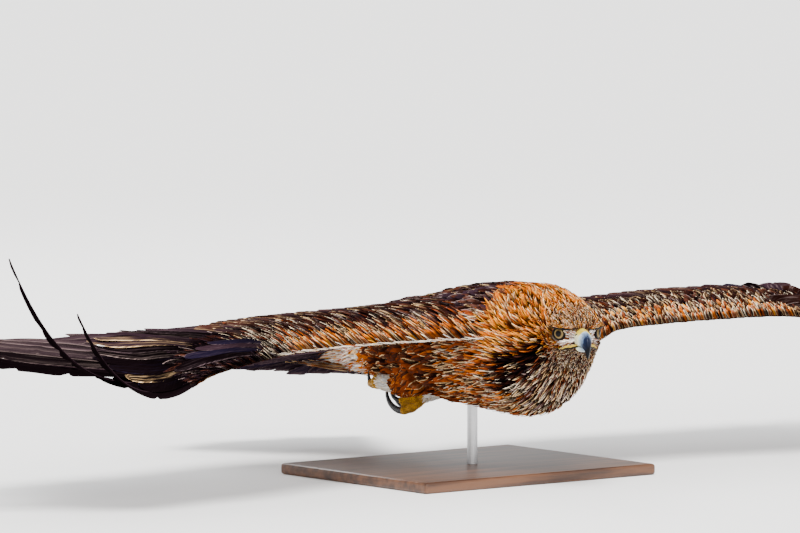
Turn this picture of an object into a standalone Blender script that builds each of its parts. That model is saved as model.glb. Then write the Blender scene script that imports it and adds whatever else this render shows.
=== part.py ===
# Golden eagle in gliding flight, life size, on a plain display stand.
# Metres, +Z up. The bird flies towards -Y with its head turned to its right, and its wings reach along X.
# The origin is the middle of the stand's underside, on the floor.
import math
import random

import bmesh
import bpy
from mathutils import Matrix, Vector

# Driving dimensions

GAP = 0.0003
SEED = 11

# Height and place of the line between the shoulders, which is the bird's own origin
SHOULDER_Y = -0.085
SHOULDER_Z = 0.212

# Stand
BASE_WIDE = 0.42
BASE_DEEP = 0.34
BASE_THICK = 0.016
BASE_EDGE = 0.004
ROD_RADIUS = 0.0075
ROD_Y = 0.075

# Body rings: place along the body, sideways shift, turn in degrees, level of the widest line,
# half width, reach above the level and reach below it
TURN = -23.0
EYE_LEVEL = 0.0145
HEAD_PLACE = (-0.0245, -0.195)
HEAD_RINGS = (
    (-0.0225, 0.0120, 0.0095, 0.0235),
    (-0.0150, 0.0205, 0.0165, 0.0300),
    (-0.0050, 0.0285, 0.0235, 0.0370),
    (0.0060, 0.0335, 0.0285, 0.0435),
    (0.0200, 0.0370, 0.0325, 0.0520),
    (0.0350, 0.0400, 0.0355, 0.0620),
    (0.0500, 0.0430, 0.0385, 0.0725),
)
BODY_RINGS = (
    (-0.1250, -0.0050, -14.0, 0.010, 0.0530, 0.0530, 0.0970),
    (-0.0900, -0.0020, -7.0, 0.004, 0.0670, 0.0660, 0.1100),
    (-0.0500, 0.0000, -2.0, 0.000, 0.0795, 0.0710, 0.1130),
    (0.0000, 0.0000, 0.0, -0.004, 0.0870, 0.0735, 0.1050),
    (0.0600, 0.0000, 0.0, -0.010, 0.0890, 0.0720, 0.0950),
    (0.1200, 0.0000, 0.0, -0.016, 0.0850, 0.0660, 0.0830),
    (0.1800, 0.0000, 0.0, -0.022, 0.0740, 0.0600, 0.0690),
    (0.2400, 0.0000, 0.0, -0.026, 0.0580, 0.0520, 0.0600),
    (0.2900, 0.0000, 0.0, -0.030, 0.0440, 0.0440, 0.0520),
    (0.3250, 0.0000, 0.0, -0.038, 0.0400, 0.0290, 0.0420),
    (0.3600, 0.0000, 0.0, -0.048, 0.0400, 0.0110, 0.0280),
)
RING_POINTS = 24
NECK_START = 0.0500
TORSO_START = -0.0700
TAIL_START = 0.2850
TAIL_END = 0.3600

# Eyes and lids
EYE_RADIUS = 0.0122
EYE_SIDE = 0.0222
EYE_BACK = 0.0035
EYE_OUTWARD = 50.0
LID_RADIUS = 0.0094
LID_THICK = 0.0017

# Bill: place ahead of the eyes, level, slope in degrees, half width and half height
BILL_RINGS = (
    (0.0228, -0.0035, 0.0, 0.0112, 0.0118),
    (0.0310, -0.0040, -8.0, 0.0104, 0.0113),
    (0.0390, -0.0062, -22.0, 0.0088, 0.0102),
    (0.0460, -0.0108, -44.0, 0.0068, 0.0086),
    (0.0503, -0.0170, -66.0, 0.0050, 0.0064),
    (0.0518, -0.0232, -86.0, 0.0034, 0.0043),
    (0.0510, -0.0290, -100.0, 0.0019, 0.0024),
    (0.0496, -0.0338, -110.0, 0.0006, 0.0007),
)
MOUTH_LEVEL = -0.0158
MOUTH_SLOPE = 17.0
MOUTH_GAP = 0.0008
MANDIBLE_RINGS = (
    (0.0228, 0.0096, 0.0068),
    (0.0285, 0.0088, 0.0064),
    (0.0330, 0.0072, 0.0055),
    (0.0362, 0.0050, 0.0040),
    (0.0378, 0.0022, 0.0022),
)

# Wing: place outward, place back and level of the leading edge
LEADING_EDGE = (
    (0.030, -0.052, 0.004),
    (0.075, -0.055, 0.000),
    (0.160, -0.042, 0.000),
    (0.270, -0.034, 0.000),
    (0.370, -0.048, 0.000),
    (0.450, -0.072, 0.000),
    (0.510, -0.080, -0.006),
    (0.580, -0.080, -0.018),
    (0.615, -0.081, -0.030),
    (0.650, -0.082, -0.042),
    (0.700, -0.084, -0.047),
    (0.800, -0.086, -0.048),
    (1.100, -0.088, -0.048),
)
# Place outward, height of the crest, chord of the core and rise of the surface towards the trailing edge
WING_SHAPE = (
    (0.030, 0.049, 0.200, -0.004),
    (0.100, 0.042, 0.180, -0.004),
    (0.200, 0.035, 0.155, -0.002),
    (0.320, 0.032, 0.135, 0.000),
    (0.420, 0.026, 0.120, 0.004),
    (0.480, 0.018, 0.100, 0.012),
    (0.550, 0.013, 0.070, 0.028),
    (0.620, 0.010, 0.042, 0.055),
    (0.700, 0.007, 0.034, 0.078),
    (1.100, 0.004, 0.030, 0.084),
)
# The left wing is held differently: place outward, lift of its leading edge and of its crest
LEFT_LIFT = (
    (0.030, -0.020, -0.012),
    (0.130, -0.017, -0.012),
    (0.175, -0.003, -0.010),
    (0.270, 0.001, -0.009),
    (0.360, 0.003, -0.001),
    (0.430, 0.004, 0.004),
    (0.490, 0.004, 0.008),
    (0.620, 0.003, 0.004),
    (1.100, 0.000, 0.000),
)
CREST_BACK = 0.100
CREST_FALL = 0.270
RISE_BACK = 0.130
CORE_START = 0.040
CORE_END = 0.625
CORE_RINGS = 17
CORE_UNDER = 0.40
CORE_FULL = 0.006
CORE_EDGE_THICK = 0.0028
CORE_BACK_THICK = 0.0050
CORE_BACK_SHARE = 0.10

# Flight feathers: places of the roots outward and back, directions in degrees from straight back
SECTION_THICK = 0.0010
COVERT_THICK = 0.0009
VANE_TILT = 4.5
TIP_THICK = 0.0006
SINK = 0.028
PRIMARIES = 10
PRIMARY_ROOTS = ((0.472, 0.022), (0.604, -0.066))
PRIMARY_ANGLES = (10.0, 95.0)
# Number of the feather, reach in plan, rise of the tip over the wing's surface and power of its curl
PRIMARY_REACH = (
    (1, 0.262, -0.002, 2.0),
    (2, 0.278, -0.006, 2.0),
    (3, 0.300, -0.012, 2.0),
    (4, 0.340, -0.014, 2.0),
    (5, 0.392, -0.010, 2.0),
    (6, 0.440, 0.022, 4.0),
    (7, 0.462, 0.062, 4.2),
    (8, 0.436, 0.105, 4.4),
    (9, 0.311, 0.180, 2.8),
    (10, 0.204, 0.118, 2.4),
)
SECONDARIES = 12
SECONDARY_PLACES = (0.455, 0.088)
SECONDARY_ANGLES = (9.0, -3.0)
SECONDARY_END = 0.325

# Tiers of coverts: number, first and last place outward, place of the root in parts of the core's chord,
# reach outward and inward, level over the surface, width, first and last angle
SECONDARY_COVERTS = (
    (9, 0.454, 0.102, 0.93, 0.085, 0.098, 0.0024, 0.064, 8.0, -3.0),
    (8, 0.460, 0.100, 0.66, 0.060, 0.074, 0.0050, 0.066, 8.0, -2.0),
)
UNDER_COVERTS = (5, 0.430, 0.130, 0.93, 0.080, 0.095, -0.0120, 0.090, 8.0, -3.0)
PRIMARY_COVERTS = 5
PRIMARY_COVERT_REACH = 0.105
ALULA = 2
ALULA_ROOT = (0.478, -0.062)
ALULA_REACH = 0.150

# Tail
RECTRICES = 12
TAIL_TIP = 0.612
TAIL_FAN = 29.0
TAIL_ROOT_WIDE = 0.034
TAIL_LEVEL = -0.050
TAIL_SLOPE = -0.225
TAIL_ROLL = 0.15
TAIL_ARCH = 0.003
TAIL_COVERTS = 3
# Tiers of the tail's coverts: level at the root and at the tip, and reach
TAIL_TIERS = (
    (0.0030, 0.0085, 0.095),
    (-0.0330, -0.0110, 0.125),
)

# Legs, in pairs for the right and the left side: the left leg hangs a little lower
LEG_SIDE = 0.047
HIP = ((0.105, -0.050), (0.110, -0.062))
ANKLE = ((0.182, -0.088), (0.194, -0.096))
HEEL = ((0.224, -0.087), (0.236, -0.110))
THIGH_RADIUS = ((0.036, 0.015), (0.039, 0.020))
TARSUS_RADIUS = (0.0125, 0.0095)

# Toes of the half-closed left foot and of the right foot, which is turned inward under the tail: outward turn
# in degrees, first slope, bend, length, thickness, claw's bend, length, thickness
TOES_LEFT = (
    (-4.0, -32.0, 22.0, 0.048, 0.0068, 104.0, 0.034, 0.0044),
    (30.0, -30.0, 24.0, 0.042, 0.0064, 104.0, 0.032, 0.0044),
    (-34.0, -26.0, 26.0, 0.038, 0.0060, 100.0, 0.028, 0.0038),
    (-14.0, -56.0, 48.0, 0.048, 0.0070, 132.0, 0.062, 0.0052),
)
TOES_RIGHT = (
    (-50.0, -24.0, 30.0, 0.042, 0.0068, 100.0, 0.032, 0.0044),
    (-20.0, -26.0, 34.0, 0.034, 0.0064, 104.0, 0.024, 0.0042),
    (-80.0, -20.0, 30.0, 0.036, 0.0060, 100.0, 0.028, 0.0038),
    (-112.0, 14.0, -34.0, 0.026, 0.0062, -66.0, 0.028, 0.0046),
)


# Scene and materials

for old in list(bpy.data.objects):
    bpy.data.objects.remove(old)

PARTS = bpy.data.collections.new("golden_eagle")
CUTTERS = bpy.data.collections.new("cutters")
bpy.context.scene.collection.children.link(PARTS)
bpy.context.scene.collection.children.link(CUTTERS)

BIRD = bpy.data.objects.new("bird_place", None)
BIRD.location = (0.0, SHOULDER_Y, SHOULDER_Z)
PARTS.objects.link(BIRD)


def finish(name, colour, roughness, metallic=0.0):
    """A plain material with one colour."""
    made = bpy.data.materials.new(name)
    made.use_nodes = True
    shader = made.node_tree.nodes["Principled BSDF"]
    shader.inputs["Base Color"].default_value = (*colour, 1.0)
    shader.inputs["Roughness"].default_value = roughness
    shader.inputs["Metallic"].default_value = metallic
    return made


PLUMAGE = finish("brown_plumage", (0.16, 0.075, 0.03), 0.8)
GOLD = finish("golden_plumage", (0.42, 0.19, 0.06), 0.8)
DARK = finish("flight_feathers", (0.045, 0.03, 0.025), 0.7)
SKIN = finish("yellow_skin", (0.70, 0.45, 0.05), 0.5)
HORN = finish("bill_horn", (0.06, 0.07, 0.09), 0.3)
CLAW = finish("claw_horn", (0.012, 0.012, 0.014), 0.3)
EYE = finish("eye_glass", (0.25, 0.16, 0.04), 0.1)
DOWN = finish("leg_plumage", (0.62, 0.52, 0.40), 0.85)
WOOD = finish("stand_wood", (0.10, 0.06, 0.035), 0.5)
STEEL = finish("stand_steel", (0.5, 0.5, 0.5), 0.3, 1.0)


# Shapes in general

def along(stations, place):
    """The values at a place on a smooth curve through stations, each a place and its values."""
    last = len(stations) - 1
    place = min(max(place, stations[0][0]), stations[last][0])
    low = max(i for i in range(last) if stations[i][0] <= place or i == 0)
    high = low + 1

    def slope(i, column):
        before = stations[max(i - 1, 0)]
        after = stations[min(i + 1, last)]
        return (after[column] - before[column]) / (after[0] - before[0])

    step = stations[high][0] - stations[low][0]
    t = (place - stations[low][0]) / step
    values = []
    for column in range(1, len(stations[0])):
        start = stations[low][column]
        end = stations[high][column]
        curve = (2 * t**3 - 3 * t**2 + 1) * start + (3 * t**2 - 2 * t**3) * end
        curve += (t**3 - 2 * t**2 + t) * step * slope(low, column)
        curve += (t**3 - t**2) * step * slope(high, column)
        values.append(curve)
    return values


def add(name, mesh, material, collection=PARTS):
    """Put a mesh in the scene as a named object in the bird's own frame."""
    mesh.materials.clear()
    mesh.materials.append(material)
    made = bpy.data.objects.new(name, mesh)
    collection.objects.link(made)
    made.parent = BIRD
    return made


def outward(mesh):
    """Turn all faces of a closed mesh outward."""
    form = bmesh.new()
    form.from_mesh(mesh)
    if form.calc_volume(signed=True) < 0:
        bmesh.ops.reverse_faces(form, faces=form.faces[:])
    form.to_mesh(mesh)
    form.free()


def loft(name, rings):
    """A closed mesh through rings of points, with flat ends."""
    count = len(rings[0])
    points = [point for ring in rings for point in ring]
    faces = []
    for i in range(len(rings) - 1):
        for j in range(count):
            k = (j + 1) % count
            a = i * count + j
            b = i * count + k
            faces.append((a, b, b + count))
            faces.append((a, b + count, a + count))
    faces.append(tuple(range(count - 1, -1, -1)))
    faces.append(tuple(range(len(points) - count, len(points))))
    mesh = bpy.data.meshes.new(name)
    mesh.from_pydata(points, [], faces)
    outward(mesh)
    return mesh


def tube(name, points, radii, sides=1):
    """A closed tube along points, thick as the radii say. More sides need a higher number."""
    curve = bpy.data.curves.new(name, "CURVE")
    curve.dimensions = "3D"
    curve.bevel_depth = 1.0
    curve.bevel_resolution = sides
    curve.use_fill_caps = True
    spline = curve.splines.new("POLY")
    spline.points.add(len(points) - 1)
    for target, point, radius in zip(spline.points, points, radii):
        target.co = (*point, 1.0)
        target.radius = radius
    made = bpy.data.objects.new(name, curve)
    PARTS.objects.link(made)
    bpy.context.view_layer.update()
    mesh = bpy.data.meshes.new_from_object(made.evaluated_get(bpy.context.evaluated_depsgraph_get()))
    bpy.data.objects.remove(made)
    form = bmesh.new()
    form.from_mesh(mesh)
    bmesh.ops.remove_doubles(form, verts=form.verts[:], dist=0.000001)
    form.to_mesh(mesh)
    form.free()
    outward(mesh)
    return mesh


def keep_largest(made):
    """Leave only the largest closed surface of an object."""
    form = bmesh.new()
    form.from_mesh(made.data)
    form.verts.ensure_lookup_table()
    seen = set()
    surfaces = []
    for start in form.verts:
        if start.index in seen:
            continue
        group = []
        stack = [start]
        seen.add(start.index)
        while stack:
            point = stack.pop()
            group.append(point)
            for edge in point.link_edges:
                other = edge.other_vert(point)
                if other.index not in seen:
                    seen.add(other.index)
                    stack.append(other)
        surfaces.append(group)

    def volume(group):
        faces = {face for point in group for face in point.link_faces}
        total = 0.0
        for face in faces:
            first = face.verts[0].co
            for i in range(1, len(face.verts) - 1):
                total += first.dot(face.verts[i].co.cross(face.verts[i + 1].co)) / 6
        return total

    surfaces.sort(key=volume)
    for group in surfaces[:-1]:
        bmesh.ops.delete(form, geom=group, context="VERTS")
    form.to_mesh(made.data)
    form.free()


def settle(made):
    """Apply an object's modifiers and keep its largest closed surface."""
    bpy.context.view_layer.update()
    graph = bpy.context.evaluated_depsgraph_get()
    mesh = bpy.data.meshes.new_from_object(made.evaluated_get(graph))
    made.modifiers.clear()
    made.data = mesh
    keep_largest(made)


def fuse(made, pieces, solver="MANIFOLD"):
    """Join pieces to an object in one union."""
    group = bpy.data.collections.new("pieces")
    bpy.context.scene.collection.children.link(group)
    for piece in pieces:
        group.objects.link(piece)
        PARTS.objects.unlink(piece)
    joint = made.modifiers.new("joined", "BOOLEAN")
    joint.operation = "UNION"
    joint.operand_type = "COLLECTION"
    joint.collection = group
    joint.solver = solver
    settle(made)
    for piece in pieces:
        bpy.data.objects.remove(piece)
    bpy.data.collections.remove(group)


def cut(made, cutter, solver="EXACT"):
    """Take a cutter's shape out of an object."""
    cutter.hide_render = True
    cutter.display_type = "WIRE"
    edge = made.modifiers.new("cut", "BOOLEAN")
    edge.operation = "DIFFERENCE"
    edge.object = cutter
    edge.solver = solver
    settle(made)


def smooth(made, sharp=40.0):
    """Shade an object smooth, but for its sharp edges."""
    made.data.shade_smooth()
    made.data.set_sharp_from_angle(angle=math.radians(sharp))


# Body

def head_point(side, back, up):
    """A point of the head's own frame, which has its origin between the eyes, in the bird's frame."""
    turn = Matrix.Rotation(math.radians(TURN), 3, "Z")
    return Vector((*HEAD_PLACE, EYE_LEVEL)) + turn @ Vector((side, back, up))


def oval(angle, wide, high, low):
    """A point of a rounded, slightly square ring."""
    x = math.cos(angle)
    z = math.sin(angle)
    reach = (abs(x)**2.25 + abs(z)**2.25)**(-1 / 2.25)
    return wide * reach * x, (high if z > 0 else low) * reach * z


def head_ring(back, grow=0.0):
    """One ring of the head, in the plane across it."""
    wide, high, low = along(HEAD_RINGS, back)
    ring = []
    for i in range(RING_POINTS):
        x, z = oval(2 * math.pi * i / RING_POINTS, wide + grow, high + grow, low + grow)
        ring.append(head_point(x, back, z))
    return ring


def head_station(back):
    """A head ring's values in the form of a body ring."""
    wide, high, low = along(HEAD_RINGS, back)
    middle = head_point(0.0, back, 0.0)
    return (middle.y, middle.x, TURN, EYE_LEVEL, wide, high, low)


def body_stations():
    """All ring values from behind the jaw to the root of the tail."""
    last = [head_station(back) for back in (0.0200, 0.0350, 0.0500)]
    return tuple(last) + BODY_RINGS


def body_ring(y, grow=0.0):
    """One ring of the neck, torso or tail root."""
    shift, turn, level, wide, high, low = along(body_stations(), y)
    turned = Matrix.Rotation(math.radians(turn), 3, "Z")
    ring = []
    for i in range(RING_POINTS):
        x, z = oval(2 * math.pi * i / RING_POINTS, wide + grow, high + grow, low + grow)
        ring.append(Vector((shift, y, level)) + turned @ Vector((x, 0.0, z)))
    return ring


def spread(start, end, count):
    """Evenly spread places from start to end."""
    return [start + (end - start) * i / (count - 1) for i in range(count)]


def make_body():
    """Neck and torso, which meet on flat sections."""
    neck_front = head_station(NECK_START)[0]
    rings = [head_ring(NECK_START + GAP)]
    rings += [body_ring(y) for y in spread(neck_front + 0.008, TORSO_START - GAP, 6)]
    neck = add("neck", loft("neck", rings), GOLD)
    rings = [body_ring(y) for y in spread(TORSO_START, TAIL_START - GAP, 14)]
    torso = add("torso", loft("torso", rings), PLUMAGE)
    smooth(neck)
    smooth(torso)
    return neck, torso


def body_cutter(grow):
    """The neck and torso, thicker by a gap, to cut what lies against them."""
    neck_front = head_station(0.020)[0]
    rings = [body_ring(y, grow) for y in spread(neck_front, TAIL_END, 30)]
    cutter = add("body_cutter", loft("body_cutter", rings), PLUMAGE, CUTTERS)
    cutter.hide_render = True
    cutter.display_type = "WIRE"
    return cutter


# Head

def head_surface(side, back, up):
    """Shift of a head point sideways and upward, for brow, eye hollow and cheek."""
    def near(centre_back, centre_up, wide, high):
        return math.exp(-((back - centre_back) / wide)**2 - ((up - centre_up) / high)**2)

    sign = 1 if side > 0 else -1
    brow = 0.0042 * near(-0.004, 0.0105, 0.012, 0.0042)
    hollow = -0.0042 * near(-0.001, 0.0000, 0.009, 0.0075)
    lore = -0.0030 * near(-0.014, -0.0040, 0.008, 0.0070)
    cheek = 0.0030 * near(0.016, -0.0180, 0.014, 0.0110)
    if abs(side) < 0.004:
        return 0.0
    return sign * (brow + hollow + lore + cheek)


def make_head():
    """Head with brows, lids, eye sockets and the line of the mouth."""
    rings = []
    turn = Matrix.Rotation(math.radians(-TURN), 3, "Z")
    for back in spread(HEAD_RINGS[0][0], NECK_START, 15):
        ring = []
        for point in head_ring(back):
            local = turn @ (point - Vector((*HEAD_PLACE, EYE_LEVEL)))
            local.x += head_surface(local.x, local.y, local.z)
            ring.append(head_point(*local))
        rings.append(ring)
    head = add("head", loft("head", rings), GOLD)
    lids = []
    for sign in (-1, 1):
        lids.append(make_lid(sign))
    fuse(head, lids)
    for sign, name in ((-1, "eye_right"), (1, "eye_left")):
        middle = eye_middle(sign)
        cut(head, ball("socket", middle, EYE_RADIUS + GAP, CUTTERS))
        eye = ball(name, middle, EYE_RADIUS, PARTS)
        eye.data.materials.clear()
        eye.data.materials.append(EYE)
        smooth(eye)
    slit = box("mouth_slit", 0.10, 0.032, MOUTH_GAP)
    place = head_point(0.0, -0.0140, MOUTH_LEVEL - 0.0022)
    slit.data.transform(Matrix.Rotation(math.radians(-MOUTH_SLOPE), 4, "X"))
    slit.data.transform(Matrix.Rotation(math.radians(TURN), 4, "Z"))
    slit.data.transform(Matrix.Translation(place))
    cut(head, slit)
    smooth(head)
    return head


def eye_middle(sign):
    """Centre of an eyeball."""
    return head_point(sign * EYE_SIDE, EYE_BACK, 0.0)


def ball(name, middle, radius, collection):
    """A round ball."""
    form = bmesh.new()
    bmesh.ops.create_uvsphere(form, u_segments=16, v_segments=10, radius=radius)
    bmesh.ops.translate(form, verts=form.verts[:], vec=middle)
    mesh = bpy.data.meshes.new(name)
    form.to_mesh(mesh)
    form.free()
    return add(name, mesh, EYE, collection)


def box(name, wide, deep, high):
    """A box cutter about the bird's origin."""
    form = bmesh.new()
    bmesh.ops.create_cube(form, size=1.0)
    bmesh.ops.scale(form, verts=form.verts[:], vec=(wide, deep, high))
    mesh = bpy.data.meshes.new(name)
    form.to_mesh(mesh)
    form.free()
    return add(name, mesh, PLUMAGE, CUTTERS)


def make_lid(sign):
    """The ring of the two lids about an eye, a little longer than high."""
    gaze = Vector((sign * math.sin(math.radians(EYE_OUTWARD)), -math.cos(math.radians(EYE_OUTWARD)), 0.0))
    gaze = Matrix.Rotation(math.radians(TURN), 3, "Z") @ gaze
    cross = Vector((0.0, 0.0, 1.0)).cross(gaze)
    middle = eye_middle(sign) + gaze * (EYE_RADIUS * 0.72)
    rings = []
    turns = 16
    for i in range(turns):
        a = 2 * math.pi * i / turns
        outer = cross * math.cos(a) * 1.06 + Vector((0.0, 0.0, 1.0)) * math.sin(a) * 0.94
        centre = middle + outer * LID_RADIUS
        ring = []
        for j in range(6):
            b = 2 * math.pi * j / 6
            ring.append(centre + outer.normalized() * math.cos(b) * LID_THICK + gaze * math.sin(b) * LID_THICK)
        rings.append(ring)
    points = [point for ring in rings for point in ring]
    faces = []
    for i in range(turns):
        for j in range(6):
            a = i * 6 + j
            b = i * 6 + (j + 1) % 6
            c = ((i + 1) % turns) * 6 + (j + 1) % 6
            d = ((i + 1) % turns) * 6 + j
            faces.append((a, b, c, d))
    mesh = bpy.data.meshes.new("lid")
    mesh.from_pydata(points, [], faces)
    outward(mesh)
    return add("lid", mesh, GOLD)


# Bill

def upper_bill_rings(start, end, count):
    """Rings of the upper bill between two parts of its length, from 0 at its base to 1 at its tip."""
    last = len(BILL_RINGS) - 1
    stations = [(i / last, *ring) for i, ring in enumerate(BILL_RINGS)]
    rings = []
    for part in spread(start, end, count):
        ahead, level, slope, wide, high = along(stations, part)
        tilt = math.radians(slope)
        ring = []
        for i in range(14):
            a = 2 * math.pi * i / 14
            x = wide * math.cos(a) * (0.80 if math.sin(a) > 0.5 else 1.0)
            z = high * math.sin(a)
            if z < 0:
                z = max(z * 1.6, -high)
            ring.append(head_point(x, -(ahead - z * math.sin(tilt)), level + z * math.cos(tilt)))
        rings.append(ring)
    return rings


def make_bill():
    """Cere with its nostrils, upper bill and lower bill."""
    cere = add("cere", loft("cere", upper_bill_rings(0.0, 0.170, 4)), SKIN)
    for sign in (-1, 1):
        form = bmesh.new()
        bmesh.ops.create_uvsphere(form, u_segments=10, v_segments=6, radius=1.0)
        bmesh.ops.scale(form, verts=form.verts[:], vec=(0.0028, 0.0014, 0.0030))
        mesh = bpy.data.meshes.new("nostril")
        form.to_mesh(mesh)
        form.free()
        nostril = add("nostril", mesh, SKIN, CUTTERS)
        mesh.transform(Matrix.Rotation(math.radians(TURN - 14 * sign), 4, "Z"))
        mesh.transform(Matrix.Translation(head_point(sign * 0.0112, -0.0274, -0.0015)))
        cut(cere, nostril)
    upper = add("bill_upper", loft("bill_upper", upper_bill_rings(0.175, 1.0, 12)), HORN)
    rings = []
    for ahead in spread(MANDIBLE_RINGS[0][0], MANDIBLE_RINGS[-1][0], 7):
        wide, deep = along(MANDIBLE_RINGS, ahead)
        ring = []
        for i in range(12):
            a = 2 * math.pi * i / 12
            z = math.sin(a) * deep
            if z > 0:
                z = 0.25 * z
            ring.append(head_point(wide * math.cos(a), -ahead, MOUTH_LEVEL - 0.0024 + z))
        rings.append(ring)
    lower = add("bill_lower", loft("bill_lower", rings), HORN)
    for piece in (cere, upper, lower):
        smooth(piece)


# Feathers

def vane(name, path, lead, trail, tilts, thick, side):
    """A thin feather along a path. Lead and trail are the widths of its two webs at each point of the
    path, and tilts lift the leading web. Both faces are split alike."""
    points = []
    last = len(path) - 1
    for i, place in enumerate(path):
        heading = (path[min(i + 1, last)] - path[max(i - 1, 0)]).normalized()
        flat = heading.cross(Vector((0.0, 0.0, 1.0))).normalized()
        above = flat.cross(heading)
        tilt = math.radians(tilts[i])
        front = side * flat * math.cos(tilt) + above * math.sin(tilt)
        face = above * math.cos(tilt) - side * flat * math.sin(tilt)
        half = 0.5 * (thick + (TIP_THICK - thick) * i / last)
        for width, level in ((lead[i], half), (-trail[i], half), (-trail[i], -half), (lead[i], -half)):
            points.append(place + front * width + face * level)
    faces = [(3, 2, 1), (3, 1, 0)]
    for i in range(last):
        a = 4 * i
        b = a + 4
        faces += [(a, a + 1, b + 1), (a, b + 1, b)]
        faces += [(a + 3, b + 2, a + 2), (a + 3, b + 3, b + 2)]
        faces += [(a + 1, a + 2, b + 2), (a + 1, b + 2, b + 1)]
        faces += [(a + 3, a, b), (a + 3, b, b + 3)]
    end = 4 * last
    faces += [(end, end + 1, end + 2), (end, end + 2, end + 3)]
    mesh = bpy.data.meshes.new(name)
    mesh.from_pydata(points, [], faces)
    outward(mesh)
    return add(name, mesh, DARK)


def web(parts, full, base, tip=0.12, round_from=0.78):
    """Widths of a web along a feather: from its base width to its full width, then rounded to its tip."""
    widths = []
    for t in parts:
        grow = min(t / 0.25, 1.0)
        width = base + (full - base) * math.sin(0.5 * math.pi * grow)
        if t > round_from:
            fall = (t - round_from) / (1 - round_from)
            width *= tip + (1 - tip) * math.sqrt(max(1 - fall * fall, 0.0))
        widths.append(width)
    return widths


def wing_shape(out, side):
    """Place back and level of the leading edge, height of the crest, chord of the core and rise of the
    surface, at a place outward on the wing of this side."""
    edge_back, edge_level = along(LEADING_EDGE, out)
    crest, core, rise = along(WING_SHAPE, out)
    if side > 0:
        edge_lift, crest_lift = along(LEFT_LIFT, out)
        edge_level += edge_lift
        crest += crest_lift - edge_lift
    return edge_back, edge_level, crest, core, rise


def wing_surface(out, back, side):
    """Level of the wing's upper surface at a place outward and back."""
    edge_back, edge_level, crest, core, rise = wing_shape(out, side)
    behind = max(back - edge_back, 0.0)
    if behind < CREST_BACK:
        lift = math.sin(0.5 * math.pi * behind / CREST_BACK)
    else:
        lift = math.cos(0.5 * math.pi * min((behind - CREST_BACK) / CREST_FALL, 1.25))
    return edge_level + crest * lift + rise * (1 - math.exp(-behind / RISE_BACK))


def core_ring(out, side):
    """One ring of the wing's fleshy core, across the wing, thin at the leading and the trailing edge."""
    edge_back, edge_level, crest, core, rise = wing_shape(out, side)
    ring = []
    for part in (0.0, 0.06, 0.18, 0.35, 0.55, 0.78, 1.0):
        back = edge_back + core * part
        ring.append(Vector((side * out, back, wing_surface(out, back, side))))
    thin = min(CORE_BACK_THICK, CORE_BACK_SHARE * core)
    for part in (1.0, 0.70, 0.40, 0.15, 0.03):
        back = edge_back + core * part
        full = math.sin(math.pi * (1 - part)**0.8)
        depth = thin * part + CORE_EDGE_THICK + (crest * CORE_UNDER + CORE_FULL) * full
        ring.append(Vector((side * out, back, wing_surface(out, back, side) - depth)))
    return ring


def feather(name, side, root, angle, reach, level, parts, lead, trail, tilt, thick=SECTION_THICK,
            rise=0.0, curl=3.0, bend=0.0, sink=SINK):
    """A feather on the wing. Its level over the wing's surface is a function of the place along it, and
    the vane follows the surface's own slope, with the leading web raised by the tilt."""
    out, back = root
    heading = math.radians(angle)
    out -= sink * math.sin(heading)
    back -= sink * math.cos(heading)
    whole = reach + sink
    before = 0.0
    path = []
    leans = []
    for t in parts:
        heading = math.radians(angle - bend * t)
        out += whole * (t - before) * math.sin(heading)
        back += whole * (t - before) * math.cos(heading)
        before = t
        lift = rise * max((t - 0.35) / 0.65, 0.0)**curl
        path.append(Vector((side * out, back, wing_surface(out, back, side) + level(t) + lift)))
        ahead_out = 0.012 * math.cos(heading)
        ahead_back = -0.012 * math.sin(heading)
        step = wing_surface(out + ahead_out, back + ahead_back, side)
        step -= wing_surface(out - ahead_out, back - ahead_back, side)
        leans.append(tilt + math.degrees(math.atan(step / 0.024)))
    return vane(name, path, lead, trail, leans, thick, side)


def primary_root(u):
    """Place of a primary's root, from the innermost at 0 to the outermost at 1."""
    first, last = PRIMARY_ROOTS
    return [a + (b - a) * u for a, b in zip(first, last)]


def primary_angle(u):
    """Direction of a primary in degrees from straight back."""
    first, last = PRIMARY_ANGLES
    return first + (last - first) * u**0.92


def primary_feathers(side, draw):
    """The ten primaries, whose outer ones are notched and curl up at their tips."""
    made = []
    parts = (0.0, 0.12, 0.32, 0.49, 0.57, 0.75, 0.92, 1.0)
    for number in range(1, PRIMARIES + 1):
        u = (number - 1) / (PRIMARIES - 1)
        reach, rise, curl = along(PRIMARY_REACH, number)
        reach *= draw.uniform(0.985, 1.015)
        angle = primary_angle(u) + draw.uniform(-0.7, 0.7)
        notch = min(max((number - 4.5) / 2.0, 0.0), 1.0)
        lead = web(parts, 0.0145, 0.004)
        trail = web(parts, 0.0430, 0.004)
        for i, t in enumerate(parts):
            if t > 0.50:
                lead[i] *= 1 - 0.40 * notch
                trail[i] *= 1 - 0.56 * notch
        made.append(feather("primary", side, primary_root(u), angle, reach, lambda t: -0.0035, parts,
                            lead, trail, VANE_TILT, rise=rise, curl=curl, bend=6.0))
    return made


def secondary_feathers(side, draw):
    """The secondaries, side by side from the wrist to the body."""
    made = []
    parts = (0.0, 0.40, 0.88, 1.0)
    lead = web(parts, 0.0200, 0.006, tip=0.35)
    trail = web(parts, 0.0360, 0.006, tip=0.20)
    for i in range(SECONDARIES):
        u = i / (SECONDARIES - 1)
        out = SECONDARY_PLACES[0] + (SECONDARY_PLACES[1] - SECONDARY_PLACES[0]) * u
        edge_back, edge_level, crest, core, rise = wing_shape(out, side)
        angle = SECONDARY_ANGLES[0] + (SECONDARY_ANGLES[1] - SECONDARY_ANGLES[0]) * u
        reach = (edge_back + SECONDARY_END + 0.020 * (1 - u) - edge_back - core) * draw.uniform(0.98, 1.02)
        made.append(feather("secondary", side, (out, edge_back + core), angle, reach, lambda t: -0.0035,
                            parts, lead, trail, VANE_TILT, bend=3.0))
    return made


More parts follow.
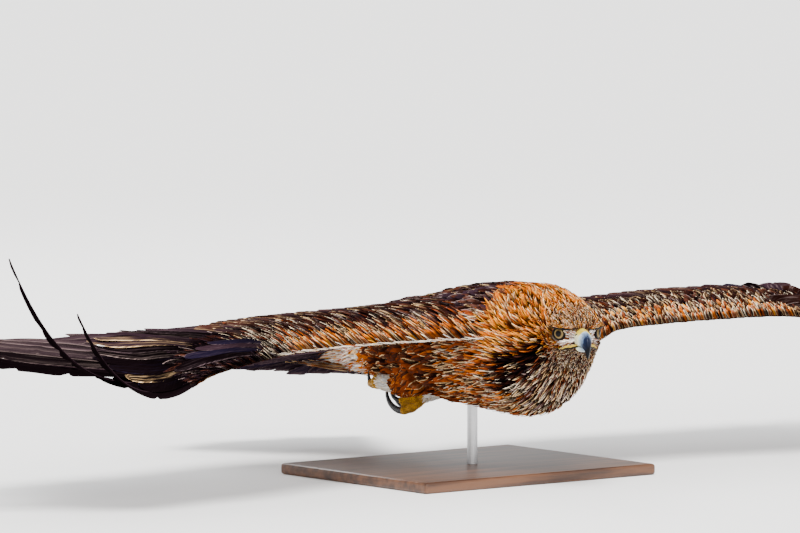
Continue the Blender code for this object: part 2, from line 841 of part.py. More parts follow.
def covert_tier(side, draw, tier):
    """A row of coverts, rooted in the core and raised over the feathers that they cover."""
    count, start, end, at, first_reach, last_reach, rise, width, first_angle, last_angle = tier
    made = []
    parts = (0.0, 0.45, 0.85, 1.0)
    lead = web(parts, width * 0.42, 0.004, tip=0.45)
    trail = web(parts, width * 0.58, 0.004, tip=0.35)
    rooted = -0.0060 if rise < 0 else -0.0020
    for i in range(count):
        u = i / (count - 1)
        out = start + (end - start) * u
        edge_back, edge_level, crest, core, slope = wing_shape(out, side)
        angle = first_angle + (last_angle - first_angle) * u
        reach = (first_reach + (last_reach - first_reach) * u) * draw.uniform(0.97, 1.03)
        made.append(feather("covert", side, (out, edge_back + core * at), angle, reach,
                            lambda t: rooted + (rise - rooted) * min(t / 0.45, 1.0),
                            parts, lead, trail, VANE_TILT, thick=COVERT_THICK, sink=0.016))
    return made


def hand_coverts(side, draw):
    """Coverts over the primaries' bases, and the alula over them at the wrist."""
    made = []
    parts = (0.0, 0.45, 0.85, 1.0)
    lead = web(parts, 0.0180, 0.004, tip=0.45)
    trail = web(parts, 0.0320, 0.004, tip=0.35)
    for i in range(PRIMARY_COVERTS):
        u = (i + 0.5) / PRIMARY_COVERTS
        out, back = primary_root(u)
        reach = PRIMARY_COVERT_REACH * (1 - 0.25 * abs(u - 0.5)) * draw.uniform(0.97, 1.03)
        made.append(feather("covert", side, (out - 0.006, back - 0.004), primary_angle(u) * 0.96, reach,
                            lambda t: -0.0015 + 0.0040 * min(t / 0.45, 1.0),
                            parts, lead, trail, VANE_TILT, thick=COVERT_THICK, sink=0.014))
    for i in range(ALULA):
        out = ALULA_ROOT[0] - 0.012 * i
        back = ALULA_ROOT[1] + 0.010 * i
        made.append(feather("alula", side, (out, back), 89.0 - 6.0 * i, ALULA_REACH - 0.020 * i,
                            lambda t: -0.0015 + 0.0078 * min(t / 0.40, 1.0),
                            parts, web(parts, 0.0090, 0.003, tip=0.4), web(parts, 0.0160, 0.003, tip=0.3),
                            VANE_TILT, sink=0.014, bend=4.0))
    return made


def make_wing(name, side, cutter):
    """A wing: the fleshy core of arm and hand, flight feathers and tiers of coverts."""
    draw = random.Random(SEED + side)
    places = spread(CORE_START, CORE_END, CORE_RINGS)
    wing = add(name, loft(name, [core_ring(out, side) for out in places]), DARK)
    feathers = primary_feathers(side, draw) + secondary_feathers(side, draw)
    for tier in (*SECONDARY_COVERTS, UNDER_COVERTS):
        feathers += covert_tier(side, draw, tier)
    feathers += hand_coverts(side, draw)
    fuse(wing, feathers)
    cut(wing, cutter, "MANIFOLD")
    return wing


# Tail

def tail_level(side, back):
    """Level of the tail's fan, which slopes down, rolls a little to the left and arches over its width."""
    out = (back - TAIL_END) / (TAIL_TIP - TAIL_END)
    return TAIL_LEVEL + TAIL_SLOPE * (back - TAIL_END) - TAIL_ROLL * side * out - TAIL_ARCH * (side / 0.15)**2


def tail_feather(name, u, reach, level, parts, lead, trail, tilt, start_back):
    """A feather of the tail's fan, from the left edge at 1 to the right edge at -1."""
    side = 1 if u > 0 else -1
    fan = math.radians(TAIL_FAN * u)
    start = Vector((TAIL_ROOT_WIDE * u, start_back, 0.0))
    path = []
    leans = []
    for t in parts:
        place = start + Vector((math.sin(fan), math.cos(fan), 0.0)) * reach * t
        place.z = tail_level(place.x, place.y) + level(t)
        path.append(place)
        across = tail_level(place.x + side * 0.01, place.y) - tail_level(place.x - side * 0.01, place.y)
        leans.append(tilt + math.degrees(math.atan(across / 0.02)))
    return vane(name, path, lead, trail, leans, SECTION_THICK, side)


def make_tail():
    """The tail's root with its twelve flight feathers and the coverts above and below."""
    rings = [body_ring(y) for y in spread(TAIL_START, TAIL_END, 6)]
    tail = add("tail", loft("tail", rings), DARK)
    draw = random.Random(SEED + 5)
    feathers = []
    parts = (0.0, 0.40, 0.90, 1.0)
    start = TAIL_END - 0.042
    for i in range(RECTRICES):
        u = 2 * i / (RECTRICES - 1) - 1
        reach = (TAIL_TIP - start) * (1 - 0.03 * abs(u)) * draw.uniform(0.99, 1.01)
        lead = web(parts, 0.0190, 0.004, tip=0.45, round_from=0.70)
        trail = web(parts, 0.0290, 0.004, tip=0.45, round_from=0.70)
        feathers.append(tail_feather("rectrix", u, reach, lambda t: 0.0035 - 0.0060 * abs(u) * (1 - t),
                                     parts, lead, trail, 5.0, start))
    parts = (0.0, 0.45, 0.85, 1.0)
    for rise, fall, reach in TAIL_TIERS:
        for i in range(TAIL_COVERTS):
            u = (2 * i / (TAIL_COVERTS - 1) - 1) * 0.9
            lead = web(parts, 0.0220, 0.004, tip=0.4)
            trail = web(parts, 0.0300, 0.004, tip=0.4)
            long = reach * (1 - 0.2 * abs(u)) * draw.uniform(0.96, 1.04)
            feathers.append(tail_feather("tail_covert", u, long, lambda t: rise + (fall - rise) * t,
                                         parts, lead, trail, 6.0, start + 0.012))
    fuse(tail, feathers)
    return tail


# Legs

def arc(start, turn, slope, bend, length, count):
    """Points along a planar arc: its direction about the upright, first slope, bend and length."""
    across = math.radians(turn)
    flat = Vector((math.sin(across), math.cos(across), 0.0))
    points = [Vector(start)]
    for i in range(count):
        angle = math.radians(slope + bend * i / (count - 1))
        step = flat * math.cos(angle) + Vector((0.0, 0.0, math.sin(angle)))
        points.append(points[-1] + step * length / count)
    return points


def make_leg(side, cutter):
    """Feathered thigh and tarsus, foot with four toes, and four claws."""
    word = "right" if side < 0 else "left"
    pair = 0 if side < 0 else 1
    hip = Vector((side * LEG_SIDE, *HIP[pair]))
    ankle = Vector((side * LEG_SIDE, *ANKLE[pair]))
    heel = Vector((side * LEG_SIDE, *HEEL[pair]))
    count = 6
    points = [hip.lerp(ankle, i / (count - 1)) for i in range(count)]
    upper, lower = THIGH_RADIUS[pair]
    radii = [upper + (lower - upper) * (i / (count - 1))**1.2 for i in range(count)]
    radii[0] *= 0.75
    radii[-1] *= 0.80
    thigh = add("thigh_" + word, tube("thigh", points, radii, 3), PLUMAGE)
    cut(thigh, cutter)
    along_leg = (heel - ankle).normalized()
    points = [ankle.lerp(heel, i / 4) for i in range(5)]
    points[0] = points[0] - along_leg * 0.012
    radii = [TARSUS_RADIUS[0] + (TARSUS_RADIUS[1] - TARSUS_RADIUS[0]) * i / 4 for i in range(5)]
    tarsus = add("tarsus_" + word, tube("tarsus", points, radii, 2), DOWN)
    cut(tarsus, grown(thigh, GAP * 1.3))
    cut(tarsus, cutter)
    make_foot(word, side, heel, along_leg, cutter)
    smooth(thigh)
    smooth(tarsus)


def grown(made, gap):
    """A cutter of a part's shape, thicker by the gap, to end a neighbour against it."""
    form = bmesh.new()
    form.from_mesh(made.data)
    form.normal_update()
    for point in form.verts:
        point.co += point.normal * gap
    mesh = bpy.data.meshes.new(made.name + "_cutter")
    form.to_mesh(mesh)
    form.free()
    return add(made.name + "_cutter", mesh, DOWN, CUTTERS)


def make_foot(word, side, heel, along_leg, cutter):
    """A half-closed foot of four toes on a pad, and a claw on each toe."""
    start = heel + along_leg * GAP
    palm = start + along_leg * 0.012
    pad = tube("foot", [start, start + along_leg * 0.006, palm, palm + along_leg * 0.010],
               [0.0090, 0.0105, 0.0115, 0.0070], 2)
    foot = add("foot_" + word, pad, SKIN)
    toes = []
    claws = []
    for number, toe in enumerate(TOES_RIGHT if side < 0 else TOES_LEFT):
        turn, slope, bend, length, thick, claw_bend, claw_length, claw_thick = toe
        turn *= side
        points = arc(palm, turn, slope, bend, length, 6)
        radii = [thick * f for f in (0.9, 1.0, 0.95, 1.0, 0.92, 0.90, 0.78)]
        toes.append(add("toe", tube("toe", points, radii, 2), SKIN))
        heading = (points[-1] - points[-2]).normalized()
        points = arc(points[-1] + heading * GAP * 2, turn, slope + bend, claw_bend, claw_length, 9)
        radii = [claw_thick * (1 - (i / 9)**1.5) + 0.0003 for i in range(10)]
        claws.append(add("claw_%s_%d" % (word, number + 1), tube("claw", points, radii, 2), CLAW))
    fuse(foot, toes)
    cut(foot, cutter)
    foot_cutter = grown(foot, GAP)
    for claw in claws:
        cut(claw, foot_cutter)
        cut(claw, cutter)
        smooth(claw)
    smooth(foot)


def make_stand(cutter):
    """A flat base and one rod up to the breast."""
    form = bmesh.new()
    bmesh.ops.create_cube(form, size=1.0)
    bmesh.ops.scale(form, verts=form.verts[:], vec=(BASE_WIDE, BASE_DEEP, BASE_THICK))
    bmesh.ops.translate(form, verts=form.verts[:], vec=(0.0, 0.0, BASE_THICK / 2))
    mesh = bpy.data.meshes.new("stand_base")
    form.to_mesh(mesh)
    form.free()
    base = add("stand_base", mesh, WOOD)
    base.parent = None
    edge = base.modifiers.new("edge", "BEVEL")
    edge.width = BASE_EDGE
    edge.segments = 2
    low = BASE_THICK + GAP - SHOULDER_Z
    form = bmesh.new()
    bmesh.ops.create_cone(form, cap_ends=True, segments=20, radius1=ROD_RADIUS, radius2=ROD_RADIUS, depth=0.12)
    bmesh.ops.translate(form, verts=form.verts[:], vec=(0.0, ROD_Y, low + 0.06))
    mesh = bpy.data.meshes.new("stand_rod")
    form.to_mesh(mesh)
    form.free()
    rod = add("stand_rod", mesh, STEEL)
    cut(rod, cutter)
    smooth(rod)


def make_eagle():
    """All parts of the model."""
    make_body()
    cutter = body_cutter(GAP * 1.5)
    make_head()
    make_bill()
    make_wing("wing_right", -1, cutter)
    make_wing("wing_left", 1, cutter)
    make_tail()
    for side in (-1, 1):
        make_leg(side, cutter)
    make_stand(cutter)


make_eagle()
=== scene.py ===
# %% [markdown]
# # A golden eagle in gliding flight
# A life-size model of a golden eagle on a plain stand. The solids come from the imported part, and this
# lesson dresses them: one skin, then feathers in the order in which they grow, from the face to the tail.
# Feathers could be particle hair, but hair has no solid form to keep. Here each feather is a small closed
# mesh that numpy places by the thousand, so that the coat has real edges and casts real shadows.

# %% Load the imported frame
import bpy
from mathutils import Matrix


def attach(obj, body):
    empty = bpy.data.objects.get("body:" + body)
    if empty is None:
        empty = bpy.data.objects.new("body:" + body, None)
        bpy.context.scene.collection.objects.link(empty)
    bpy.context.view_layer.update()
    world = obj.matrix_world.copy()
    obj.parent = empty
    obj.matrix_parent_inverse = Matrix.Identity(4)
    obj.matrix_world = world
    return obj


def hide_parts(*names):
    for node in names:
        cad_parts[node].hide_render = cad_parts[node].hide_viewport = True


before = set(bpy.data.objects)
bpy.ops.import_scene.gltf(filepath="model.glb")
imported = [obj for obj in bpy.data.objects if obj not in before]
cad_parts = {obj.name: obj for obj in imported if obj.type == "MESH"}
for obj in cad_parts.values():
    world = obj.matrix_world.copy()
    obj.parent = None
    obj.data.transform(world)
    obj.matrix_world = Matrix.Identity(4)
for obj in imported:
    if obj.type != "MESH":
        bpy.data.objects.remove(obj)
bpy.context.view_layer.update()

# %% Tools of the lesson
import math

import bmesh
import bpy
import numpy as np
from mathutils import Vector

# The bird's own origin is the middle of the line between its shoulders
SHOULDER = np.array((0.0, -0.085, 0.212))
NEAR = -1
FAR = 1
WORDS = {NEAR: "right", FAR: "left"}


def linear(red, green, blue):
    """A colour as a painter reads it, from 0 to 255, as the shader's linear numbers."""
    return tuple((c / 255 / 12.92) if c < 10.3 else ((c / 255 + 0.055) / 1.055)**2.4 for c in (red, green, blue))


# How much the darkest and the palest plumage colours keep of their light, and how much richer all of them get
DEPTH = (0.55, 1.0)
RICH = 1.12


def dye(red, green, blue):
    """A plumage colour, deeper and richer than it reads, because the bright studio washes it out. Dark
    colours are deepened more than pale ones."""
    values = linear(red, green, blue)
    grey = sum(values) / 3
    depth = DEPTH[0] + (DEPTH[1] - DEPTH[0]) * grey
    return tuple(max(depth * (grey + RICH * (value - grey)), 0.0012) for value in values)


def put(name, data):
    """A new object in the scene."""
    made = bpy.data.objects.new(name, data)
    bpy.context.scene.collection.objects.link(made)
    return made


def ease(value, low, high):
    """0 below low, 1 above high and a soft step between them. High may be the smaller one."""
    t = np.clip((value - low) / (high - low), 0.0, 1.0)
    return t * t * (3 - 2 * t)


# %% [markdown]
# ## The view and the light
# The photograph was taken with a long lens from the bird's right front, almost level with it. A long lens
# far away gives the same flat perspective, so the camera stands 14 metres off. Soft light from large
# lamps and a pale floor keep the small feathers readable, as in a studio.

# %% Camera
VIEW_TURN = math.radians(-38.0)
VIEW_RISE = math.radians(5.0)
VIEW_FAR = 14.0
PIXELS_PER_METRE = 700.0
PICTURE = (800, 533)
ORIGIN_PIXEL = (505.0, 331.9)
toward = Vector((math.sin(VIEW_TURN) * math.cos(VIEW_RISE), -math.cos(VIEW_TURN) * math.cos(VIEW_RISE),
                 math.sin(VIEW_RISE)))
right = Vector((math.cos(VIEW_TURN), math.sin(VIEW_TURN), 0.0))
target = Vector(SHOULDER) - right * ((ORIGIN_PIXEL[0] - PICTURE[0] / 2) / PIXELS_PER_METRE)
target += toward.cross(right) * ((ORIGIN_PIXEL[1] - PICTURE[1] / 2) / PIXELS_PER_METRE)
lens = bpy.data.cameras.new("view")
lens.sensor_width = 36.0
lens.lens = lens.sensor_width * VIEW_FAR * PIXELS_PER_METRE / PICTURE[0]
lens.clip_end = 100.0
camera = put("view", lens)
camera.location = target + toward * VIEW_FAR
camera.rotation_euler = (-toward).to_track_quat("-Z", "Y").to_euler()
bpy.context.scene.camera = camera
print("lens %.0f mm at %.0f m" % (lens.lens, VIEW_FAR))


# %% Floor and lamps
FLOOR_REACH = 60.0
SKY_STRENGTH = 1.3
SUN_STRENGTH = 5.8
SUN_FROM = (-0.55, -0.85, 1.6)
SUN_SPREAD = math.radians(24.0)


def plain_finish(name, colour, roughness, specular=None):
    """A new material, its nodes and its shader, to build on."""
    made = bpy.data.materials.new(name)
    made.use_nodes = True
    shader = made.node_tree.nodes["Principled BSDF"]
    shader.inputs["Base Color"].default_value = (*colour, 1.0)
    shader.inputs["Roughness"].default_value = roughness
    if specular is not None:
        shader.inputs["Specular IOR Level"].default_value = specular
    return made, made.node_tree, shader


def lamp(name, place, wide, power, colour=(1.0, 1.0, 1.0)):
    """A large square lamp that faces the bird."""
    light = bpy.data.lights.new(name, "AREA")
    light.size = wide
    light.energy = power
    light.color = colour
    made = put(name, light)
    made.location = place
    made.rotation_euler = (Vector(SHOULDER) - Vector(place)).to_track_quat("-Z", "Y").to_euler()


floor_mesh = bpy.data.meshes.new("floor")
floor_mesh.from_pydata([(x * FLOOR_REACH, y * FLOOR_REACH, 0) for x, y in ((-1, -1), (1, -1), (1, 1), (-1, 1))],
                       [], [(0, 1, 2, 3)])
floor_mesh.materials.append(plain_finish("pale_floor", (0.92, 0.92, 0.92), 0.9)[0])
floor = put("floor", floor_mesh)
world = bpy.data.worlds.new("studio")
world.use_nodes = True
world.node_tree.nodes["Background"].inputs["Color"].default_value = (1.0, 1.0, 1.0, 1.0)
world.node_tree.nodes["Background"].inputs["Strength"].default_value = SKY_STRENGTH
bpy.context.scene.world = world
ceiling = bpy.data.lights.new("ceiling", "SUN")
ceiling.energy = SUN_STRENGTH
ceiling.angle = SUN_SPREAD
ceiling.color = (1.0, 0.985, 0.96)
put("ceiling", ceiling).rotation_euler = Vector(SUN_FROM).to_track_quat("Z", "Y").to_euler()
lamp("key", (-1.8, -2.6, 1.6), 1.0, 60.0, (1.0, 0.97, 0.93))
lamp("rim", (1.0, 3.2, 2.6), 1.6, 60.0)
print("a soft ceiling light and two lamps, pale floor")

# %% [markdown]
# ## Curves through stations
# The bird was drawn as a row of stations: at each place along it, a few sizes. Between them the values
# follow a smooth curve through the stations. The same tables made the solids, so that the dressed
# bird and the solid one agree. One numpy function gives the values at thousands of places at once.


# %% Values between stations
def along(stations, place):
    """The values at places on a smooth curve through stations, each a place and its values."""
    table = np.array(stations, dtype=float)
    at = table[:, 0]
    values = table[:, 1:]
    place = np.clip(np.asarray(place, dtype=float), at[0], at[-1])
    before = np.maximum(np.arange(len(at)) - 1, 0)
    after = np.minimum(np.arange(len(at)) + 1, len(at) - 1)
    slopes = (values[after] - values[before]) / (at[after] - at[before])[:, None]
    low = np.clip(np.searchsorted(at, place, side="right") - 1, 0, len(at) - 2)
    step = (at[low + 1] - at[low])[..., None]
    t = (place - at[low])[..., None] / step
    curve = (2 * t**3 - 3 * t**2 + 1) * values[low] + (3 * t**2 - 2 * t**3) * values[low + 1]
    curve = curve + (t**3 - 2 * t**2 + t) * step * slopes[low] + (t**3 - t**2) * step * slopes[low + 1]
    return np.moveaxis(curve, -1, 0)


def unit(vectors):
    """Vectors at length one."""
    return vectors / np.maximum(np.linalg.norm(vectors, axis=-1, keepdims=True), 1e-9)


def square_to(vectors, heading):
    """The part of some vectors that stands square to a heading, at length one."""
    return unit(vectors - heading * np.sum(vectors * heading, -1, keepdims=True))


def rolled(across, above, turn):
    """Two directions square to each other, turned by an angle about the line along a feather."""
    return across * np.cos(turn) + above * np.sin(turn), above * np.cos(turn) - across * np.sin(turn)


# %% Body stations
TURN = math.radians(-23.0)
EYE_LEVEL = 0.0145
HEAD_PLACE = (-0.0245, -0.195)
# Place behind the eyes, half width, reach above and reach below
HEAD_RINGS = (
    (-0.0225, 0.0120, 0.0095, 0.0235),
    (-0.0150, 0.0205, 0.0165, 0.0300),
    (-0.0050, 0.0285, 0.0235, 0.0370),
    (0.0060, 0.0335, 0.0285, 0.0435),
    (0.0200, 0.0370, 0.0325, 0.0520),
    (0.0350, 0.0400, 0.0355, 0.0620),
    (0.0500, 0.0430, 0.0385, 0.0725),
)
# Place along the body, sideways shift, turn in degrees, level, half width, reach above and reach below
BODY_RINGS = (
    (-0.1250, -0.0050, -14.0, 0.010, 0.0530, 0.0530, 0.0970),
    (-0.0900, -0.0020, -7.0, 0.004, 0.0670, 0.0660, 0.1100),
    (-0.0500, 0.0000, -2.0, 0.000, 0.0795, 0.0710, 0.1130),
    (0.0000, 0.0000, 0.0, -0.004, 0.0870, 0.0735, 0.1050),
    (0.0600, 0.0000, 0.0, -0.010, 0.0890, 0.0720, 0.0950),
    (0.1200, 0.0000, 0.0, -0.016, 0.0850, 0.0660, 0.0830),
    (0.1800, 0.0000, 0.0, -0.022, 0.0740, 0.0600, 0.0690),
    (0.2400, 0.0000, 0.0, -0.026, 0.0580, 0.0520, 0.0600),
    (0.2900, 0.0000, 0.0, -0.030, 0.0440, 0.0440, 0.0520),
    (0.3250, 0.0000, 0.0, -0.038, 0.0400, 0.0290, 0.0420),
    (0.3600, 0.0000, 0.0, -0.048, 0.0400, 0.0110, 0.0280),
    (0.4400, 0.0000, 0.0, -0.068, 0.0360, 0.0060, 0.0100),
)
BODY_END = 0.3600


def head_point(side, back, up):
    """A point of the head's own frame, which has its origin between the eyes, in the bird's frame."""
    x = HEAD_PLACE[0] + side * math.cos(TURN) - back * math.sin(TURN)
    y = HEAD_PLACE[1] + side * math.sin(TURN) + back * math.cos(TURN)
    return np.stack(np.broadcast_arrays(x, y, EYE_LEVEL + up), -1)


def head_y(back):
    """Place along the body of the middle of a head ring."""
    return HEAD_PLACE[1] + back * math.cos(TURN)


STATIONS = [(head_y(back), HEAD_PLACE[0] - back * math.sin(TURN), math.degrees(TURN), EYE_LEVEL, wide, high, low)
            for back, wide, high, low in HEAD_RINGS] + list(BODY_RINGS)
FACE = head_y(HEAD_RINGS[0][0])
print("body from %.3f to %.3f m" % (FACE, BODY_END))


# %% Surface of head and body
def face_form(side, back, up):
    """Shift outward of a point of the head, for brow, eye hollow, lore and cheek."""
    def near(centre_back, centre_up, wide, high):
        return np.exp(-((back - centre_back) / wide)**2 - ((up - centre_up) / high)**2)

    shift = 0.0042 * near(-0.004, 0.0105, 0.012, 0.0042) - 0.0042 * near(-0.001, 0.0, 0.009, 0.0075)
    shift = shift - 0.0030 * near(-0.014, -0.004, 0.008, 0.007) + 0.0030 * near(0.016, -0.018, 0.014, 0.011)
    return np.sign(side) * shift * ease(np.abs(side), 0.002, 0.008)


def body_point(place, angle, grow=0.0):
    """Points of the body's surface, or of one thicker by grow. The angle is 0 at the left, a quarter turn on top."""
    shift, turn, level, wide, high, low = along(STATIONS, place)
    x = np.cos(angle)
    z = np.sin(angle)
    reach = (np.abs(x)**2.25 + np.abs(z)**2.25)**(-1 / 2.25)
    side = (wide + grow) * reach * x
    up = np.where(z > 0, high + grow, low + grow) * reach * z
    side = side + face_form(side, (place - HEAD_PLACE[1]) / math.cos(TURN), up)
    turn = np.radians(turn)
    return np.stack(np.broadcast_arrays(shift + side * np.cos(turn), place + side * np.sin(turn), level + up), -1)


# %% [markdown]
# ## A finish for feathers
# A feather is rows of fine barbs on both sides of a shaft. Painting each one by hand, or from an image,
# would fix it to one feather. Instead every feather carries two colours and three numbers as attributes,
# and a map that runs across and along it. One material reads them: it mixes centre and fringe, paints shade
# on the covered root, and draws the barbs as fine slanting streaks in colour and in relief.


# %% Nodes for materials
def wire(tree, made, socket, source):
    """Set a node's socket to a number or colour, or link another node's output to it."""
    if isinstance(source, bpy.types.NodeSocket):
        tree.links.new(source, made.inputs[socket])
    elif source is not None:
        made.inputs[socket].default_value = source


def math_node(tree, operation, *values):
    """A node of arithmetic and its result."""
    made = tree.nodes.new("ShaderNodeMath")
    made.operation = operation
    for socket, source in enumerate(values):
        wire(tree, made, socket, source)
    return made.outputs[0]


def soft_step(tree, value, low, high, start=0.0, end=1.0):
    """A node that turns a range of values into another one, softly."""
    made = tree.nodes.new("ShaderNodeMapRange")
    made.interpolation_type = "SMOOTHSTEP"
    for socket, source in zip(("Value", "From Min", "From Max", "To Min", "To Max"), (value, low, high, start, end)):
        wire(tree, made, socket, source)
    return made.outputs["Result"]


def mix_node(tree, share, first, second, blend="MIX"):
    """A mix of two colours."""
    made = tree.nodes.new("ShaderNodeMix")
    made.data_type = "RGBA"
    made.blend_type = blend
    for socket, source in ((0, share), (6, first), (7, second)):
        wire(tree, made, socket, (*source, 1.0) if isinstance(source, tuple) else source)
    return made.outputs[2]


def parts_node(tree, vector):
    """The three parts of a vector."""
    made = tree.nodes.new("ShaderNodeSeparateXYZ")
    wire(tree, made, 0, vector)
    return made.outputs


def vector_node(tree, *parts):
    """A vector from its three parts."""
    made = tree.nodes.new("ShaderNodeCombineXYZ")
    for socket, part in enumerate(parts):
        wire(tree, made, socket, part)
    return made.outputs[0]


def noise_node(tree, place, scale, detail=2.0, rough=0.5):
    """Cloudy noise at a place."""
    made = tree.nodes.new("ShaderNodeTexNoise")
    for socket, source in (("Vector", place), ("Scale", scale), ("Detail", detail), ("Roughness", rough)):
        wire(tree, made, socket, source)
    return made.outputs["Fac"]


def object_place(tree, stretch=None):
    """The place on the piece, multiplied by three numbers where a pattern is stretched."""
    place = tree.nodes.new("ShaderNodeTexCoord").outputs["Object"]
    if stretch is None:
        return place
    made = tree.nodes.new("ShaderNodeMapping")
    wire(tree, made, "Vector", place)
    wire(tree, made, "Scale", stretch)
    return made.outputs[0]


def ramp_node(tree, value, stops):
    """A colour for each value: the stops are places from 0 to 1 with a painter's colour."""
    made = tree.nodes.new("ShaderNodeValToRGB")
    wire(tree, made, "Fac", value)
    while len(made.color_ramp.elements) < len(stops):
        made.color_ramp.elements.new(0.5)
    for element, (spot, colour) in zip(made.color_ramp.elements, stops):
        element.position = spot
        element.color = (*linear(*colour), 1.0)
    return made.outputs["Color"]


def attribute_node(tree, name, kind="Color"):
    """An attribute of the mesh, as a colour, a vector or a single number."""
    made = tree.nodes.new("ShaderNodeAttribute")
    made.attribute_name = name
    return made.outputs[kind]


def relief(tree, shader, height, strength, distance):
    """Fine relief in the surface."""
    bump = tree.nodes.new("ShaderNodeBump")
    for socket, source in (("Strength", strength), ("Distance", distance), ("Height", height)):
        wire(tree, bump, socket, source)
    wire(tree, shader, "Normal", bump.outputs["Normal"])


# %% Feather material
def feather_finish(name, roughness, barbs, streaks, veins_and_sheen, lopside_highlight, bare):
    """Material of feathers. Barbs is their number along a vane and streaks how strongly they show. The next number is
    how much of the fringe's colour runs along the vane in long streaks, partly the feather's own veins and partly
    painted sheen, the one after it how much narrower the fringe is on one edge than on the other, so that the wider
    edge is a painted highlight, and bare where along the vane the painted shade at its root ends."""
    made, tree, shader = plain_finish(name, (0.2, 0.1, 0.05), roughness, 0.0)

    def calc(operation, *values):
        return math_node(tree, operation, *values)

    lie = tree.nodes.new("ShaderNodeUVMap")
    lie.uv_map = "vane"
    across, length = parts_node(tree, lie.outputs[0])[:2]
    fringe_wide, root_shade, seed = parts_node(tree, attribute_node(tree, "trim", "Vector"))
    # Slanting barbs, and long veins that follow the shaft, partly the feather's own streaks and partly painted sheen
    slide = calc("MULTIPLY_ADD", across, 2.0, -1.0)
    rim = calc("ABSOLUTE", slide)
    slant = calc("MULTIPLY_ADD", rim, -0.16 * barbs, calc("MULTIPLY", length, float(barbs)))
    barb = noise_node(tree, vector_node(tree, slant, calc("MULTIPLY", across, 2.4), calc("MULTIPLY", seed, 40.0)),
                      1.0, 3.0, 0.6)
    vein_and_sheen_noise = noise_node(tree, vector_node(tree, calc("MULTIPLY", length, 2.2), calc("MULTIPLY", across, 7.0),
                                        calc("MULTIPLY", seed, 70.0)), 1.0, 3.0, 0.65)
    # The fringe runs round the tip and along the edges, wider on one side, where it is a painted highlight of light
    # catching that edge
    hand = calc("MULTIPLY_ADD", calc("GREATER_THAN", seed, 0.5), 2.0, -1.0)
    tip = calc("MULTIPLY_ADD", length, 2.6, -1.6)
    edge = calc("MAXIMUM", calc("SUBTRACT", rim, lopside_highlight), calc("MULTIPLY", slide, hand))
    edge = calc("MAXIMUM", edge, calc("SUBTRACT", tip, 0.5 * lopside_highlight))
    edge = calc("ADD", edge, calc("MULTIPLY_ADD", barb, 0.70, -0.35))
    inner = calc("SUBTRACT", 1.0, fringe_wide)
    share = soft_step(tree, edge, calc("SUBTRACT", inner, 0.14), calc("ADD", inner, 0.10))
    share = calc("MAXIMUM", share, soft_step(tree, vein_and_sheen_noise, 0.50, 0.68, 0.0, veins_and_sheen))
    colour = mix_node(tree, share, attribute_node(tree, "plume"), attribute_node(tree, "fringe"))
    shade = soft_step(tree, barb, 0.25, 0.75, 1.0 - streaks, 1.0 + 0.6 * streaks)
    # Painted shade over the root of each vane, where the feathers before it cover it
    root = soft_step(tree, length, bare - 0.38, bare, root_shade, 1.0)
    value = calc("MULTIPLY", shade, calc("MULTIPLY", root, soft_step(tree, vein_and_sheen_noise, 0.22, 0.46, 0.60, 1.0)))
    wire(tree, shader, "Base Color", mix_node(tree, 1.0, colour, value, "MULTIPLY"))
    relief(tree, shader, barb, 0.35, 0.0006)
    return made


# The fourth number sets the long streaks, partly the feather's own and partly painted sheen; on the flight feathers it
# stands in for their gloss
GOLDEN = feather_finish("golden_feathers", 0.70, 18, 0.40, 0.30, 0.45, 0.80)
BROWN = feather_finish("brown_feathers", 0.70, 18, 0.40, 0.25, 0.45, 0.76)
FLIGHT = feather_finish("flight_feather_vanes", 0.60, 150, 0.42, 0.60, 0.0, 0.40)
COVERT = feather_finish("covert_feathers", 0.60, 46, 0.40, 0.32, 0.40, 0.78)
DOWN = feather_finish("leg_down", 0.80, 12, 0.18, 0.30, 0.0, 0.70)
print("five feather finishes")

# %% [markdown]
# ## One function for every feather
# A feather could be modelled once and copied, but a real one bends with the body below it. So the lesson
# computes a path for each feather and sweeps a flat, slightly arched section along it. The section closes
# underneath, so every feather is a thin solid. A second map, OFBake, gives each one a small patch at
# its root's place on the unrolled skin.


# %% Meshes from arrays
def mesh_from_arrays(name, points, corners, sizes):
    """A mesh from its points, the point numbers of all faces in a row and the number of corners of each face."""
    mesh = bpy.data.meshes.new(name)
    mesh.vertices.add(len(points))
    mesh.vertices.foreach_set("co", np.ascontiguousarray(points, dtype=np.float32).ravel())
    mesh.loops.add(len(corners))
    mesh.loops.foreach_set("vertex_index", np.ascontiguousarray(corners, dtype=np.int32))
    mesh.polygons.add(len(sizes))
    starts = np.concatenate(([0], np.cumsum(sizes)[:-1])).astype(np.int32)
    mesh.polygons.foreach_set("loop_start", starts)
    mesh.update(calc_edges=True)
    mesh.shade_smooth()
    return mesh


def add_attribute(mesh, name, kind, values):
    """A value at each point of a mesh."""
    field = {"FLOAT_COLOR": "color", "FLOAT_VECTOR": "vector", "FLOAT": "value"}[kind]
    made = mesh.attributes.new(name, kind, "POINT")
    made.data.foreach_set(field, np.ascontiguousarray(values, dtype=np.float32).ravel())


def add_colour(mesh, name, values):
    """A colour at each point of a mesh."""
    add_attribute(mesh, name, "FLOAT_COLOR", np.concatenate((values, np.ones((len(values), 1))), 1))


def add_map(mesh, name, corners, values):
    """A map of a mesh, from one place in the map for each point."""
    made = mesh.uv_layers.new(name=name)
    made.uv.foreach_set("vector", np.ascontiguousarray(values[corners], dtype=np.float32).ravel())


def mesh_points(mesh):
    """The places of a mesh's points."""
    points = np.zeros(len(mesh.vertices) * 3, dtype=np.float32)
    mesh.vertices.foreach_get("co", points)
    return points.reshape(-1, 3)


def side_faces(rings, around, closed=False):
    """Faces with four corners between rings of points, and from the last ring to the first if it is closed."""
    i, j = np.meshgrid(np.arange(rings if closed else rings - 1), np.arange(around), indexing="ij")
    k, n = (j + 1) % around, (i + 1) % rings
    return np.stack((i * around + j, i * around + k, n * around + k, n * around + j), -1).reshape(-1, 4)


